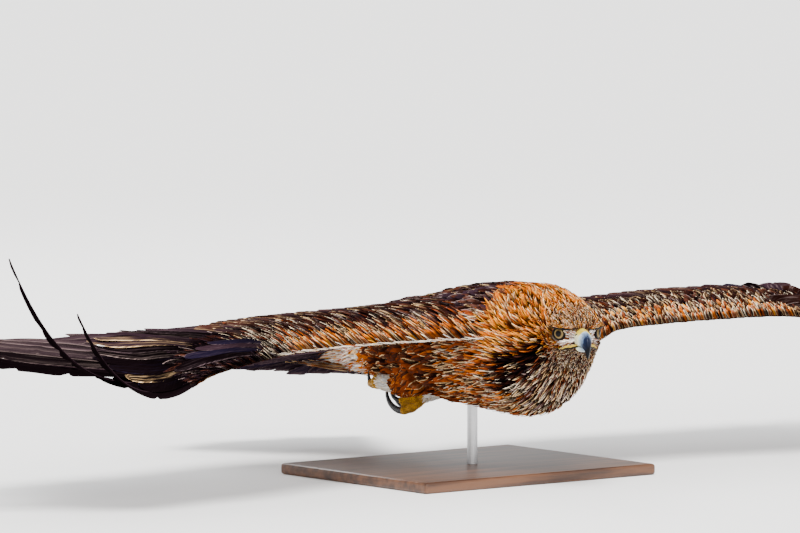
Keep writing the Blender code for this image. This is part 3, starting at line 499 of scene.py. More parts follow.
def end_faces(rings, around):
    """The two faces that close a row of rings."""
    return np.stack((np.arange(around)[::-1], np.arange(around) + (rings - 1) * around))


def place_piece(name, mesh, finish, nodes=()):
    """Put a mesh in the scene as a piece that rides on the bird, in the place of the nodes it stands for."""
    mesh.materials.append(finish)
    made = put(name, mesh)
    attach(made, "root")
    if nodes:
        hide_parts(*nodes)


# %% Vanes
# Side of a small feather's patch on the map OFBake
PATCH = 0.003
PER_FEATHER = ("path", "across", "above", "lead", "trail", "plume", "fringe", "trim", "patch")


def sweep_vanes(name, group, finish, nodes=()):
    """Many feathers as one piece. The group holds arrays for its feathers: path, across and above for each
    row of each feather, lead and trail as its two half widths, and its looks."""
    path, across, above = group["path"], group["across"], group["above"]
    count, rows = path.shape[:2]
    columns = group.get("columns", 3)
    # One ring of points about each row: over the vane and back under it
    s = np.linspace(-1.0, 1.0, columns)
    lead, trail = group["lead"][..., None], group["trail"][..., None]
    wide = np.where(s > 0, s * lead, s * trail)
    arch = -group.get("arch", 0.12) * s**2 * np.maximum(lead, trail)
    half = 0.5 * group.get("thick", 0.0006) * (1 - s**2)
    middle = path[:, :, None] + across[:, :, None] * wide[..., None] + above[:, :, None] * arch[..., None]
    up = above[:, :, None] * half[:, None]
    ring = np.concatenate((middle + up, (middle - up)[:, :, -2:0:-1]), axis=2) + SHOULDER
    around = 2 * columns - 2
    sheet, caps = side_faces(rows, around), end_faces(rows, around)
    heading = path[:, -1] - path[:, 0]
    if np.mean(np.sum(np.cross(across[:, 0], heading) * above[:, 0], -1)) < 0:
        sheet, caps = sheet[:, ::-1], caps[:, ::-1]
    starts = (np.arange(count) * rows * around)[:, None, None]
    corners = np.concatenate(((sheet + starts).reshape(count, -1), (caps + starts).reshape(count, -1)), 1).ravel()
    sizes = np.tile(np.concatenate((np.full(len(sheet), 4), np.full(2, around))), count)
    mesh = mesh_from_arrays(name, ring.reshape(-1, 3), corners, sizes)
    # Hard edges along the rim and round both ends
    ends = np.zeros(len(mesh.edges) * 2, dtype=np.int32)
    mesh.edges.foreach_get("vertices", ends)
    place_in_ring = (ends % around).reshape(-1, 2)
    row = ((ends // around) % rows).reshape(-1, 2)
    rim = (place_in_ring[:, 0] == place_in_ring[:, 1]) & np.isin(place_in_ring[:, 0], (0, columns - 1))
    cap = (row[:, 0] == row[:, 1]) & ((row[:, 0] == 0) | (row[:, 0] == rows - 1))
    mesh.attributes.new("sharp_edge", "BOOLEAN", "EDGE").data.foreach_set("value", rim | cap)
    # Two maps, and the looks of each feather at all its points
    u = np.concatenate(((s + 1) / 2, (s[-2:0:-1] + 1) / 2))
    lie = np.tile(np.stack(np.broadcast_arrays(u[None, :], group["rows"][:, None]), -1).reshape(-1, 2), (count, 1))
    each = rows * around
    add_map(mesh, "vane", corners, lie)
    add_map(mesh, "OFBake", corners, np.repeat(group["patch"], each, 0) + (lie - 0.5) * group.get("patch_size", PATCH))
    for look in ("plume", "fringe"):
        add_colour(mesh, look, np.repeat(group[look], each, 0))
    add_attribute(mesh, "trim", "FLOAT_VECTOR", np.repeat(group["trim"], each, 0))
    place_piece(name, mesh, finish, nodes)
    print("%-22s %6d feathers %7d triangles" % (name, count, count * (len(sheet) * 2 + 2 * (around - 2))))


def joined(groups):
    """Several groups of feathers with the same rows and columns as one."""
    return {**groups[0], **{key: np.concatenate([group[key] for group in groups]) for key in PER_FEATHER}}


def kept(group, keep):
    """Only the feathers of a group that are kept."""
    return {**group, **{key: group[key][keep] for key in PER_FEATHER}}


# %% Feather outlines
OUTLINES = {
    "lance": ((0.0, 0.15, 0.40, 0.65, 0.85, 1.0), (0.35, 0.75, 1.00, 0.82, 0.46, 0.04)),
    "scale": ((0.0, 0.20, 0.50, 0.78, 0.93, 1.0), (0.30, 0.75, 1.00, 0.94, 0.62, 0.10)),
    "round": ((0.0, 0.15, 0.40, 0.80, 0.95, 1.0), (0.30, 0.80, 1.00, 0.98, 0.66, 0.16)),
    "tuft": ((0.0, 0.30, 0.60, 0.85, 1.0), (0.60, 1.00, 0.80, 0.45, 0.06)),
}


def outline(kind, rows):
    """Width of a feather along its length, as a share of its widest."""
    return np.interp(rows, *OUTLINES[kind])


# %% Feathers on a surface
def surface_vanes(surface, place, angle, length, width, draw, kind="lance", rows=6, low=-0.004, high=0.001,
                  lift=0.0, swirl=0.0, stray=6.0, roll=10.0):
    """Paths of feathers that lie back along a surface, from below it at the root to above it at the tip."""
    t = np.linspace(0.0, 1.0, rows)
    step = 0.0005
    ahead = (surface(place + step, angle) - surface(place - step, angle)) / (2 * step)
    around = (surface(place, angle + 0.01) - surface(place, angle - 0.01)) / 0.02
    turn = np.radians(swirl + draw.normal(0.0, stray, len(place)))
    per_place = length * np.cos(turn) / np.linalg.norm(ahead, axis=-1)
    per_angle = length * np.sin(turn) / np.maximum(np.linalg.norm(around, axis=-1), 0.003)
    p = place[:, None] + per_place[:, None] * t
    a = angle[:, None] + per_angle[:, None] * t
    level, top, lift = [np.broadcast_to(np.asarray(value), place.shape)[:, None] for value in (low, high, lift)]
    grow = level + (top - level) * np.sin(0.5 * np.pi * np.minimum(t / 0.75, 1.0)) + lift * t**2
    path = surface(p, a, grow)
    heading = unit(np.gradient(path, axis=1))
    across = square_to(surface(p, a + 0.01, grow) - surface(p, a - 0.01, grow), heading)
    above = unit(np.cross(heading, across))
    across, above = rolled(across, above, np.radians(draw.normal(0.0, roll, len(place)))[:, None, None])
    wide = 0.5 * width[:, None] * outline(kind, t)
    return {"path": path, "across": across, "above": above, "lead": wide, "trail": wide, "rows": t, "arch": 0.18}


def scatter(surface, start, end, gap_along, gap_across, draw):
    """Staggered roots on a surface: places and angles, as far apart as the two gaps say at each place."""
    places, angles = [], []
    place = start
    odd = 0.0
    sweep = np.linspace(0.0, 2 * math.pi, 241)
    while place < end:
        ring = surface(np.full(len(sweep), place), sweep)
        run = np.concatenate(([0.0], np.cumsum(np.linalg.norm(np.diff(ring, axis=0), axis=1))))
        count = max(int(run[-1] / gap_across(place)), 3)
        spots = (np.arange(count) + odd + draw.uniform(-0.28, 0.28, count)) / count * run[-1]
        angles.append(np.interp(spots % run[-1], run, sweep))
        places.append(place + draw.uniform(-0.32, 0.32, count) * gap_along(place))
        place += gap_along(place)
        odd = 0.5 - odd
    return np.concatenate(places), np.concatenate(angles)


# %% [markdown]
# ## Colours of the plumage
# An adult golden eagle is dark brown with a golden crown and nape, rufous breast and white fluff under
# its tail, and no two feathers match. A gradient would look airbrushed. So each region has shares of a few
# plain colours, the regions fade into each other, and every feather draws its own colour from the shares.

# %% Paint box and regions
PAINTS = {
    "black": (17, 10, 13), "ink": (34, 28, 46), "dark": (48, 26, 22), "purple": (58, 42, 50),
    "slate": (96, 80, 84), "brown": (94, 57, 46), "rufous": (158, 78, 46), "orange": (216, 114, 42),
    "gold": (248, 172, 84), "buff": (248, 208, 160), "cream": (247, 226, 198), "white": (244, 240, 236),
    "grey": (158, 138, 134),
}
NAMES = list(PAINTS)
DYES = {name: dye(*colour) for name, colour in PAINTS.items()}
# Shares of paints for the centres and for the fringes of the feathers in each region
REGIONS = {
    "nape": ({"orange": 0.38, "rufous": 0.42, "brown": 0.20}, {"gold": 0.48, "buff": 0.28, "orange": 0.24}),
    "crown": ({"dark": 0.28, "brown": 0.42, "rufous": 0.24, "orange": 0.06},
              {"buff": 0.50, "gold": 0.22, "cream": 0.14, "brown": 0.14}),
    "face": ({"brown": 0.50, "rufous": 0.35, "orange": 0.15}, {"gold": 0.35, "buff": 0.30, "rufous": 0.35}),
    "lore": ({"white": 0.55, "cream": 0.25, "grey": 0.20}, {"white": 0.80, "grey": 0.20}),
    "throat": ({"black": 0.30, "dark": 0.42, "brown": 0.28},
               {"buff": 0.28, "grey": 0.14, "brown": 0.12, "rufous": 0.18, "cream": 0.28}),
    "shadow": ({"black": 0.85, "dark": 0.15}, {"black": 0.70, "dark": 0.24, "rufous": 0.06}),
    "breast": ({"rufous": 0.42, "brown": 0.32, "orange": 0.12, "dark": 0.14},
               {"orange": 0.22, "buff": 0.34, "rufous": 0.20, "cream": 0.24}),
    "belly": ({"brown": 0.48, "rufous": 0.34, "dark": 0.18},
              {"rufous": 0.46, "orange": 0.12, "buff": 0.22, "brown": 0.20}),
    "back": ({"purple": 0.40, "dark": 0.40, "brown": 0.20},
             {"grey": 0.50, "purple": 0.20, "buff": 0.14, "brown": 0.16}),
    "vent": ({"white": 0.26, "cream": 0.10, "orange": 0.48, "buff": 0.16},
             {"white": 0.44, "cream": 0.20, "gold": 0.20, "orange": 0.16}),
}


# %% Shares of paint
def region_shares(place, angle):
    """How much each region has of a point of the body."""
    up = np.sin(angle)
    on_head = ease(place, -0.158, -0.176)
    vent = ease(place, 0.225, 0.270) * ease(up, 0.30, 0.0)
    back = ease(up, 0.22, 0.50) * ease(place, -0.085, -0.050) * (1 - vent)
    throat = ease(up, -0.30, -0.62) * ease(place, -0.075, -0.125)
    # Painted shadow: a black band below the cheek, where the jaw shades the neck
    shadow_band = ease(np.abs(up + 0.42 + 1.2 * (place + 0.16)), 0.22, 0.08) * ease(place, -0.070, -0.100)
    shadow_band = shadow_band * ease(place, -0.186, -0.172)
    crown = on_head * ease(up, 0.25, 0.60)
    lore = ease(place, -0.1985, -0.2030) * ease(up, -0.52, -0.42) * ease(up, 0.50, 0.36)
    crown = crown * (1 - lore)
    face = on_head * (1 - crown) * (1 - throat) * (1 - lore)
    nape = ease(place, -0.060, -0.085) * (1 - on_head) * ease(up, -0.42, -0.15)
    rest = np.clip(1 - vent - back - throat - shadow_band - crown - face - nape, 0.0, 1.0)
    belly = rest * ease(place, 0.0, 0.06)
    return {"nape": nape, "crown": crown, "face": face, "lore": lore * (1 - throat), "throat": throat,
            "shadow": 1.6 * shadow_band, "breast": rest - belly, "belly": belly, "back": back, "vent": vent}


def paint_shares(place, angle, layer):
    """Shares of all paints at points of the body, for centres at layer 0 and fringes at layer 1."""
    regions = region_shares(place, angle)
    return [sum(regions[region] * REGIONS[region][layer].get(paint, 0.0) for region in REGIONS) + 1e-6
            for paint in NAMES]


def mean_paint(place, angle, layer):
    """The average colour of a region's paints."""
    shares = np.stack(paint_shares(place, angle, layer), -1)
    return shares @ np.array([DYES[name] for name in NAMES]) / shares.sum(-1, keepdims=True)


def pick(draw, shares, names, lean=0.0):
    """One of the paints for each feather, drawn by the shares that it has there. A lean below zero favours
    the first and dark paints, and one above zero the last and pale ones."""
    shares = np.stack(np.broadcast_arrays(*shares), -1)
    edges = np.cumsum(shares / shares.sum(-1, keepdims=True), -1)
    lean = np.broadcast_to(lean, len(edges))[:, None]
    chosen = np.argmax(draw.random((len(edges), 1))**np.exp(-lean) < edges, 1)
    colours = np.array([DYES[name] for name in names])
    return colours[chosen] * draw.uniform(0.78, 1.22, (len(edges), 1)) * (1 + 0.25 * lean)


def mixed_paint(shares, draw, count, even=0.0):
    """A paint for each feather, drawn by shares that may differ from feather to feather. Even is how far each
    one is mixed with the average of its shares."""
    columns = np.stack([np.broadcast_to(share, count) for share in shares.values()], -1)
    made = pick(draw, columns.T, shares)
    mean = columns @ np.array([DYES[name] for name in shares]) / columns.sum(-1, keepdims=True)
    return made + even * (mean - made)


def trim_numbers(count, fringe, root, draw):
    """Width of the fringe, how much colour the painted shade at the root leaves, and a number of its own for each
    feather.
    """
    return np.stack((np.full(count, fringe), np.full(count, root), draw.random(count)), -1)


def dress(group, draw, centres, fringes, fringe, root, even=(0.0, 0.0)):
    """Give a group's feathers their colours and numbers, from the shares of paints for centres and fringes."""
    count = len(group["path"])
    group["plume"] = mixed_paint(centres, draw, count, even[0])
    group["fringe"] = mixed_paint(fringes, draw, count, even[1])
    group["trim"] = trim_numbers(count, fringe, root, draw)
    return group


def locks(place, angle):
    """Light and dark locks that run back over the head and the neck, from -1 to 1."""
    wander = 2.4 * np.sin(5 * angle + 70 * place) + 1.6 * np.sin(11 * angle - 130 * place)
    return np.sin(38 * angle + wander) * ease(place, -0.080, -0.120)


def body_patch(angle, part):
    """Place of a root on the unrolled body or leg."""
    return np.stack((0.02 + 0.96 * (angle / (2 * math.pi)) % 1.0, 0.02 + part), -1)


def body_looks(place, angle, draw, fringe, root):
    """Colours and numbers of feathers on the body. The lore gets almost no painted shade at its roots, and the
    painted shadow band under the cheek has no locks."""
    count = len(place)
    regions = region_shares(place, angle)
    lean = locks(place, angle) * (1 + 0.6 * regions["crown"]) * (1 - 0.9 * np.minimum(regions["shadow"], 1.0))
    lean = lean - 0.2 * regions["crown"]
    # The lore's feathers get almost no painted shade at their roots
    root = root + (0.85 - root) * regions["lore"]
    trim = np.stack(np.broadcast_arrays(fringe * draw.uniform(0.6, 1.4, count), root, draw.random(count)), -1)
    return {"plume": pick(draw, paint_shares(place, angle, 0), NAMES, lean),
            "fringe": pick(draw, paint_shares(place, angle, 1), NAMES, lean), "trim": trim,
            "patch": body_patch(angle, 0.96 * (place - FACE) / 0.62)}


print(len(PAINTS), "paints in", len(REGIONS), "regions")

# %% [markdown]
# ## Surface of the wings
# The wing of a gliding eagle is a thin arched sheet: steep at the leading edge, highest a hand's breadth
# behind it, and rising again at the hand. A sculpted mesh would be hard to cover with feathers. A function
# that gives the height at any place outward and back is enough, and each feather follows it.

# %% Wing surface
LEADING_EDGE = (
    (0.030, -0.052, 0.004), (0.075, -0.055, 0.000), (0.160, -0.042, 0.000), (0.270, -0.034, 0.000),
    (0.370, -0.048, 0.000), (0.450, -0.072, 0.000), (0.510, -0.080, -0.006), (0.580, -0.080, -0.018),
    (0.615, -0.081, -0.030), (0.650, -0.082, -0.042), (0.700, -0.084, -0.047), (0.800, -0.086, -0.048),
    (1.100, -0.088, -0.048),
)
WING_SHAPE = (
    (0.030, 0.049, 0.200, -0.004), (0.100, 0.042, 0.180, -0.004), (0.200, 0.035, 0.155, -0.002),
    (0.320, 0.032, 0.135, 0.000), (0.420, 0.026, 0.120, 0.004), (0.480, 0.018, 0.100, 0.012),
    (0.550, 0.013, 0.070, 0.028), (0.620, 0.010, 0.042, 0.055), (0.700, 0.007, 0.034, 0.078),
    (1.100, 0.004, 0.030, 0.084),
)
LEFT_LIFT = (
    (0.030, -0.020, -0.012), (0.130, -0.017, -0.012), (0.175, -0.003, -0.010), (0.270, 0.001, -0.009),
    (0.360, 0.003, -0.001), (0.430, 0.004, 0.004), (0.490, 0.004, 0.008), (0.620, 0.003, 0.004),
    (1.100, 0.000, 0.000),
)
CREST_BACK = 0.100
CREST_FALL = 0.270
RISE_BACK = 0.130
CORE_UNDER = 0.40
CORE_FULL = 0.006
CORE_EDGE_THICK = 0.0028
CORE_BACK_THICK = 0.0050
CORE_BACK_SHARE = 0.10


def wing_shape(out, side):
    """Place and level of the leading edge, height of the crest, chord of the core and rise of the surface."""
    edge_back, edge_level = along(LEADING_EDGE, out)
    crest, core, rise = along(WING_SHAPE, out)
    if side == FAR:
        edge_lift, crest_lift = along(LEFT_LIFT, out)
        edge_level = edge_level + edge_lift
        crest = crest + crest_lift - edge_lift
    return edge_back, edge_level, crest, core, rise


def wing_level(out, back, side):
    """Level of the wing's upper surface at places outward and back."""
    edge_back, edge_level, crest, _, rise = wing_shape(out, side)
    behind = np.maximum(back - edge_back, 0.0)
    before_crest = np.sin(0.5 * np.pi * np.minimum(behind / CREST_BACK, 1.0))
    past_crest = np.cos(0.5 * np.pi * np.clip((behind - CREST_BACK) / CREST_FALL, 0.0, 1.25))
    lift = np.where(behind < CREST_BACK, before_crest, past_crest)
    return edge_level + crest * lift + rise * (1 - np.exp(-behind / RISE_BACK))


def core_depth(out, back, side):
    """Thickness of the wing's fleshy core at places outward and back."""
    edge_back, _, crest, core, _ = wing_shape(out, side)
    part = np.clip((back - edge_back) / core, 0.0, 1.0)
    thin = np.minimum(CORE_BACK_THICK, CORE_BACK_SHARE * core)
    full = np.sin(np.pi * (1 - part)**0.8)
    return thin * part + CORE_EDGE_THICK + (crest * CORE_UNDER + CORE_FULL) * full


def wing_point(out, back, level, side):
    """Points over the wing's upper surface by a level, in the bird's frame."""
    return np.stack(np.broadcast_arrays(side * out, back, wing_level(out, back, side) + level), -1)


print("wing levels at the wrist", [round(float(wing_level(0.45, back, NEAR)), 4) for back in (-0.07, 0.0, 0.1)])

# %% [markdown]
# ## Skin
# Under the feathers lies one closed skin, so that no gap between feathers shows a hole. It could be joined
# from loose parts, but seams would show where they meet. So body, wings, thighs and shanks are lofted from
# the same tables, a coat's depth inside the solids, and joined to one surface. It is painted with the same
# regions as the feathers over it, darkened as painted shade in the gaps between them.


# %% Lofts
def closed_mesh(name, points, corners, sizes):
    """A mesh from points in the bird's frame, with all its faces turned outward."""
    mesh = mesh_from_arrays(name, points.reshape(-1, 3) + SHOULDER, corners, sizes)
    form = bmesh.new()
    form.from_mesh(mesh)
    bmesh.ops.recalc_face_normals(form, faces=form.faces[:])
    form.to_mesh(mesh)
    form.free()
    mesh.shade_smooth()
    return mesh


def loft(name, rings):
    """A closed mesh through rings of points with flat ends."""
    rings = np.asarray(rings)
    count, around = rings.shape[:2]
    sheet = side_faces(count, around)
    corners = np.concatenate((sheet.ravel(), end_faces(count, around).ravel()))
    return closed_mesh(name, rings, corners, np.concatenate((np.full(len(sheet), 4), (around, around))))


def turns(count):
    """Angles all the way round."""
    return np.linspace(0, 2 * np.pi, count, endpoint=False)


def tube_rings(points, radii, around=24, squash=1.0):
    """Rings about a path, as wide as the radii say."""
    points = np.asarray(points, dtype=float)
    heading = unit(np.gradient(points, axis=0))
    side = unit(np.cross(heading, (0.0, 0.0, 1.0)))
    up = np.cross(side, heading)
    sweep = turns(around)[:, None]
    radii = np.asarray(radii, dtype=float)[:, None, None]
    return points[:, None] + radii * (side[:, None] * np.cos(sweep) * squash + up[:, None] * np.sin(sweep))


# %% Legs as surfaces
LEG_SIDE = 0.047
HIP = {NEAR: (0.105, -0.050), FAR: (0.110, -0.062)}
ANKLE = {NEAR: (0.182, -0.088), FAR: (0.194, -0.096)}
HEEL = {NEAR: (0.224, -0.087), FAR: (0.236, -0.110)}
THIGH_RADIUS = {NEAR: (0.036, 0.015), FAR: (0.039, 0.020)}
TARSUS_RADIUS = (0.0125, 0.0095)


def leg_points(side):
    """Hip, ankle and heel of a leg."""
    return [np.array((side * LEG_SIDE, *joint[side])) for joint in (HIP, ANKLE, HEEL)]


def leg_surface(side):
    """The surface of a thigh and its shank: a function of the place along it, 0 at the hip, 1 at the ankle
    and 2 at the heel, and of the angle about it."""
    hip, ankle, heel = leg_points(side)
    upper, lower = THIGH_RADIUS[side]

    def point(place, angle, grow=0.0):
        place = np.clip(place, 0.0, 2.3)
        thigh = hip + (ankle - hip) * np.minimum(place, 1.0)[..., None]
        middle = thigh + (heel - ankle) * np.maximum(place - 1.0, 0.0)[..., None]
        radius = upper + (lower - upper) * np.minimum(place, 1.0)**1.2
        radius = radius * (0.75 + 0.25 * ease(place, 0.0, 0.2))
        shank = TARSUS_RADIUS[0] + (TARSUS_RADIUS[1] - TARSUS_RADIUS[0]) * np.clip(place - 1.0, 0.0, 1.0)
        radius = radius + (shank - radius) * ease(place, 0.86, 1.14) + grow
        return middle + np.stack(np.broadcast_arrays(radius * np.cos(angle), 0.22 * radius * np.sin(angle),
                                                     radius * np.sin(angle)), -1)

    return point


# %% One skin
COAT_DEPTH = ((FACE, 0.0012), (-0.190, 0.0020), (-0.160, 0.0040), (-0.120, 0.0070), (-0.050, 0.0090),
              (0.100, 0.0100), (0.250, 0.0080), (BODY_END, 0.0040))


def coat_depth(place):
    """Depth of the coat at places along the body."""
    return along(COAT_DEPTH, place)[0]


CORE_START = 0.040
CORE_END = 0.620
SKIN_DEPTH = 0.0012
LEG_SKIN_DEPTH = 0.0025
# The rings of the skin are closer together up to here
HEAD_END = -0.14
BODY_AROUND = 120
LEG_AROUND = 32


def core_rings(side):
    """Rings of the wing's core, a little inside the solid's."""
    rings = []
    front = np.sin(0.5 * np.pi * np.linspace(0.0, 1.0, 22))**2
    for out in np.linspace(CORE_START, CORE_END, 80):
        edge_back, _, _, core, _ = wing_shape(out, side)
        back = edge_back + 0.0015 + (core - 0.003) * front
        upper = wing_point(out, back, -SKIN_DEPTH, side)
        lower = wing_point(out, back, SKIN_DEPTH - np.maximum(core_depth(out, back, side), 2.6 * SKIN_DEPTH), side)
        rings.append(np.concatenate((upper, lower[::-1])))
    return rings


body_places = np.concatenate((np.linspace(FACE, HEAD_END, 40)[:-1], np.linspace(HEAD_END, BODY_END, 90)))
skin_parts = [loft("skin", [body_point(np.full(BODY_AROUND, place), turns(BODY_AROUND), -coat_depth(place))
                            for place in body_places])]
for side in (NEAR, FAR):
    surface = leg_surface(side)
    skin_parts.append(loft("arm_skin", core_rings(side)))
    skin_parts.append(loft("leg_skin", [surface(np.full(LEG_AROUND, place), turns(LEG_AROUND), -LEG_SKIN_DEPTH)
                                        for place in np.linspace(0.0, 2.0, 40)]))
skin_objects = [put(mesh.name, mesh) for mesh in skin_parts]
for other in skin_objects[1:]:
    union = skin_objects[0].modifiers.new("joined", "BOOLEAN")
    union.object = other
    union.operation = "UNION"
    union.solver = "MANIFOLD"
bpy.context.view_layer.update()
skin_mesh = bpy.data.meshes.new_from_object(skin_objects[0].evaluated_get(bpy.context.evaluated_depsgraph_get()))
for made in skin_objects:
    bpy.data.objects.remove(made)
skin_mesh.name = "skin"
print("skin", len(skin_mesh.polygons), "faces")


# %% Skin's paint
def skin_finish():
    """Skin under the coat, with the coat's regions in soft streaks, darkened as painted shade in the gaps."""
    made, tree, shader = plain_finish("skin_under_feathers", (0.1, 0.05, 0.03), 0.85, 0.15)
    cloud = noise_node(tree, object_place(tree, (1.0, 0.35, 1.0)), 320.0, 3.0, 0.6)
    colour = mix_node(tree, soft_step(tree, cloud, 0.42, 0.60), attribute_node(tree, "plume"),
                      attribute_node(tree, "fringe"))
    # The skin shows only in the gaps between feathers, so its colour is darkened as painted shade
    wire(tree, shader, "Base Color", mix_node(tree, 1.0, colour, (0.45, 0.42, 0.42), "MULTIPLY"))
    relief(tree, shader, cloud, 0.6, 0.002)
    return made


points = mesh_points(skin_mesh) - SHOULDER
shift, _, level, wide, high, _ = along(STATIONS, points[:, 1])
angle = np.arctan2((points[:, 2] - level) / high, (points[:, 0] - shift) / wide) % (2 * np.pi)
on_wing = ease(np.abs(points[:, 0]), 0.085, 0.11)[:, None]
for layer, look in enumerate(("plume", "fringe")):
    own = mean_paint(points[:, 1], angle, layer)
    add_colour(skin_mesh, look, own * (1 - on_wing) + np.array(DYES["dark"]) * on_wing)
skin_mesh.materials.clear()
skin_mesh.shade_smooth()
place_piece("skin", skin_mesh, skin_finish(),
            ("head", "neck", "torso", "thigh_right", "thigh_left", "tarsus_right", "tarsus_left"))
print("skin painted")

# %% [markdown]
# ## Feathers of head and body
# On the face the feathers are tiny and lie close. On the nape they are long, narrow lances that stand
# apart at their tips, and on the back and belly they are broad and soft. One function lays them all, and a table
# gives their size at each place along the body, so that small ones grow into large ones without a border.

# %% Sizes along the body
# Place along the body, gap along it, gap across it, length and width of a feather
SIZES = (
    (FACE, 0.0021, 0.0011, 0.0062, 0.0013), (-0.203, 0.0026, 0.0012, 0.0085, 0.0015),
    (-0.190, 0.0034, 0.0013, 0.0120, 0.0017), (-0.175, 0.0044, 0.0015, 0.0170, 0.0020),
    (-0.155, 0.0058, 0.0017, 0.0240, 0.0025), (-0.130, 0.0068, 0.0020, 0.0300, 0.0030),
    (-0.100, 0.0078, 0.0024, 0.0340, 0.0036), (-0.050, 0.0088, 0.0030, 0.0370, 0.0046),
    (0.020, 0.0096, 0.0038, 0.0380, 0.0058), (0.120, 0.0104, 0.0048, 0.0380, 0.0074),
    (0.220, 0.0096, 0.0046, 0.0370, 0.0070), (0.320, 0.0078, 0.0036, 0.0340, 0.0054),
    (0.400, 0.0070, 0.0036, 0.0300, 0.0052),
)
EYE_RADIUS = 0.0122
EYE_SIDE = 0.0222
EYE_BACK = 0.0035
EYES = {NEAR: head_point(-EYE_SIDE, EYE_BACK, 0.0), FAR: head_point(EYE_SIDE, EYE_BACK, 0.0)}
EYE_CLEAR = 0.0126


def size(place, column):
    """One of the sizes at a place: 0 gap along, 1 gap across, 2 length, 3 width."""
    return along(SIZES, place)[column]


def clear_of_eyes(group):
    """Leave out the feathers that would cross an eye."""
    keep = np.ones(len(group["path"]), dtype=bool)
    for eye in EYES.values():
        keep &= np.linalg.norm(group["path"] - eye, axis=-1).min(1) > EYE_CLEAR
    return kept(group, keep)


def neck_swirl(place, angle):
    """Degrees by which feathers at the sides of the neck sweep upward as they run back."""
    up = np.sin(angle)
    amount = 34.0 * ease(up, -0.50, -0.10) * ease(up, 1.0, 0.80) * ease(place, -0.045, -0.095)
    amount = amount * (1.0 - 0.6 * ease(place, -0.180, -0.195))
    return amount * np.clip(2.0 * np.cos(angle), -1.0, 1.0)


def body_coat(name, start, end, seed, finish, kind="lance", above=-math.inf, below=math.inf, stretch=1.0,
              broad=1.0, fringe=0.34, root=0.22, stray=6.0, lift=0.0, rows=6):
    """Feathers of a stretch of the body, where the sine of the angle lies between above and below."""
    draw = np.random.default_rng(seed)
    place, angle = scatter(body_point, start, end, lambda p: float(size(p, 0)), lambda p: float(size(p, 1)), draw)
    up = np.sin(angle)
    keep = (up > above) & (up < below)
    place, angle = place[keep], angle[keep]
    length = size(place, 2) * stretch * draw.uniform(0.82, 1.18, len(place))
    width = size(place, 3) * broad * draw.uniform(0.85, 1.15, len(place))
    depth = coat_depth(place)
    group = surface_vanes(body_point, place, angle, length, width, draw, kind, rows, -depth,
                          depth * draw.uniform(-0.35, 0.45, len(place)), lift, neck_swirl(place, angle), stray,
                          roll=14.0)
    group.update(body_looks(place, angle, draw, fringe, root))
    sweep_vanes(name, clear_of_eyes(group), finish)


# %% Coat from the face to the tail
# The root number of each coat is how much colour the painted shade at the feathers' roots leaves
FLANK = 0.45
body_coat("face_feathers", FACE - 0.0016, -0.172, 21, GOLDEN, stray=9.0, fringe=0.50)
body_coat("nape_feathers", -0.172, -0.085, 22, GOLDEN, stray=9.0, fringe=0.50, lift=0.0018, rows=7,
          root=0.06)
body_coat("breast_feathers", -0.085, 0.070, 23, BROWN, below=FLANK, stray=10.0, fringe=0.46,
          lift=0.0014, root=0.24)
body_coat("belly_feathers", 0.070, 0.270, 24, BROWN, "scale", below=FLANK, stray=9.0, lift=0.001,
          root=0.40)
body_coat("back_feathers", -0.085, 0.348, 25, COVERT, "scale", above=0.30, stretch=1.15, broad=1.45,
          fringe=0.26, root=0.25)
body_coat("vent_fluff", 0.255, 0.352, 26, DOWN, "tuft", below=FLANK, stretch=1.1, broad=0.55,
          stray=16.0, lift=0.004, root=0.7)

# %% [markdown]
# ## Feathers of the wings
# A wing has ten primaries at the hand, seventeen secondaries along the arm, and rows of coverts over both
# like roof tiles. One could paint the rows on a flat sheet, but their edges would not lift. So every
# feather gets its own path: from its root, in its own direction, at its own height over the wing.


# %% Paths over the wing
def leaning_vanes(path, lean, hand, lead, trail, rows, columns, thick, arch):
    """Feathers along paths, with their vanes leaning by an angle about the shaft. Hand is 1 where across
    points to the left, or -1 where it points to the right."""
    lean = lean[..., None]
    heading = unit(np.gradient(path, axis=1))
    flat = unit(np.cross(heading, (0.0, 0.0, 1.0)))
    up = np.cross(flat, heading)
    shape = path.shape[:2]
    return {"path": path, "across": hand * flat * np.cos(lean) + up * np.sin(lean),
            "above": up * np.cos(lean) - hand * flat * np.sin(lean), "lead": np.broadcast_to(lead, shape),
            "trail": np.broadcast_to(trail, shape), "rows": rows, "columns": columns, "thick": thick, "arch": arch}


def wing_vanes(side, out, back, angle, reach, lead, trail, rows, level, rise=0.0, curl=3.0, bend=0.0,
               sink=0.0, tilt=4.5, columns=3, thick=0.0007, arch=0.12):
    """Feathers from roots on the wing. The angle is in degrees from straight back outward, level is a
    function of the place along a feather, and lead and trail are its half widths in each row."""
    t = rows[None, :]
    out, back, angle, reach, rise, curl = [np.broadcast_to(np.asarray(v, dtype=float), np.shape(out))[:, None]
                                           for v in (out, back, angle, reach, rise, curl)]
    start = np.radians(angle)
    heading = np.radians(angle - bend * t)
    steps = (reach + sink) * np.diff(t, prepend=0.0)
    outward = out - sink * np.sin(start) + np.cumsum(steps * np.sin(heading), 1)
    backward = back - sink * np.cos(start) + np.cumsum(steps * np.cos(heading), 1)
    lift = rise * np.maximum((t - 0.35) / 0.65, 0.0)**curl
    path = wing_point(outward, backward, level(t) + lift, side)
    # The vane follows the wing's slope across the feather, and leans a little over its neighbour
    across_out = 0.006 * np.cos(heading)
    across_back = -0.006 * np.sin(heading)
    slope = wing_level(outward + across_out, backward + across_back, side)
    slope = (slope - wing_level(outward - across_out, backward - across_back, side)) / 0.012
    lean = np.radians(np.broadcast_to(np.asarray(tilt, dtype=float), len(path)))[:, None] + np.arctan(slope)
    return leaning_vanes(path, lean, side, lead, trail, rows, columns, thick, arch)


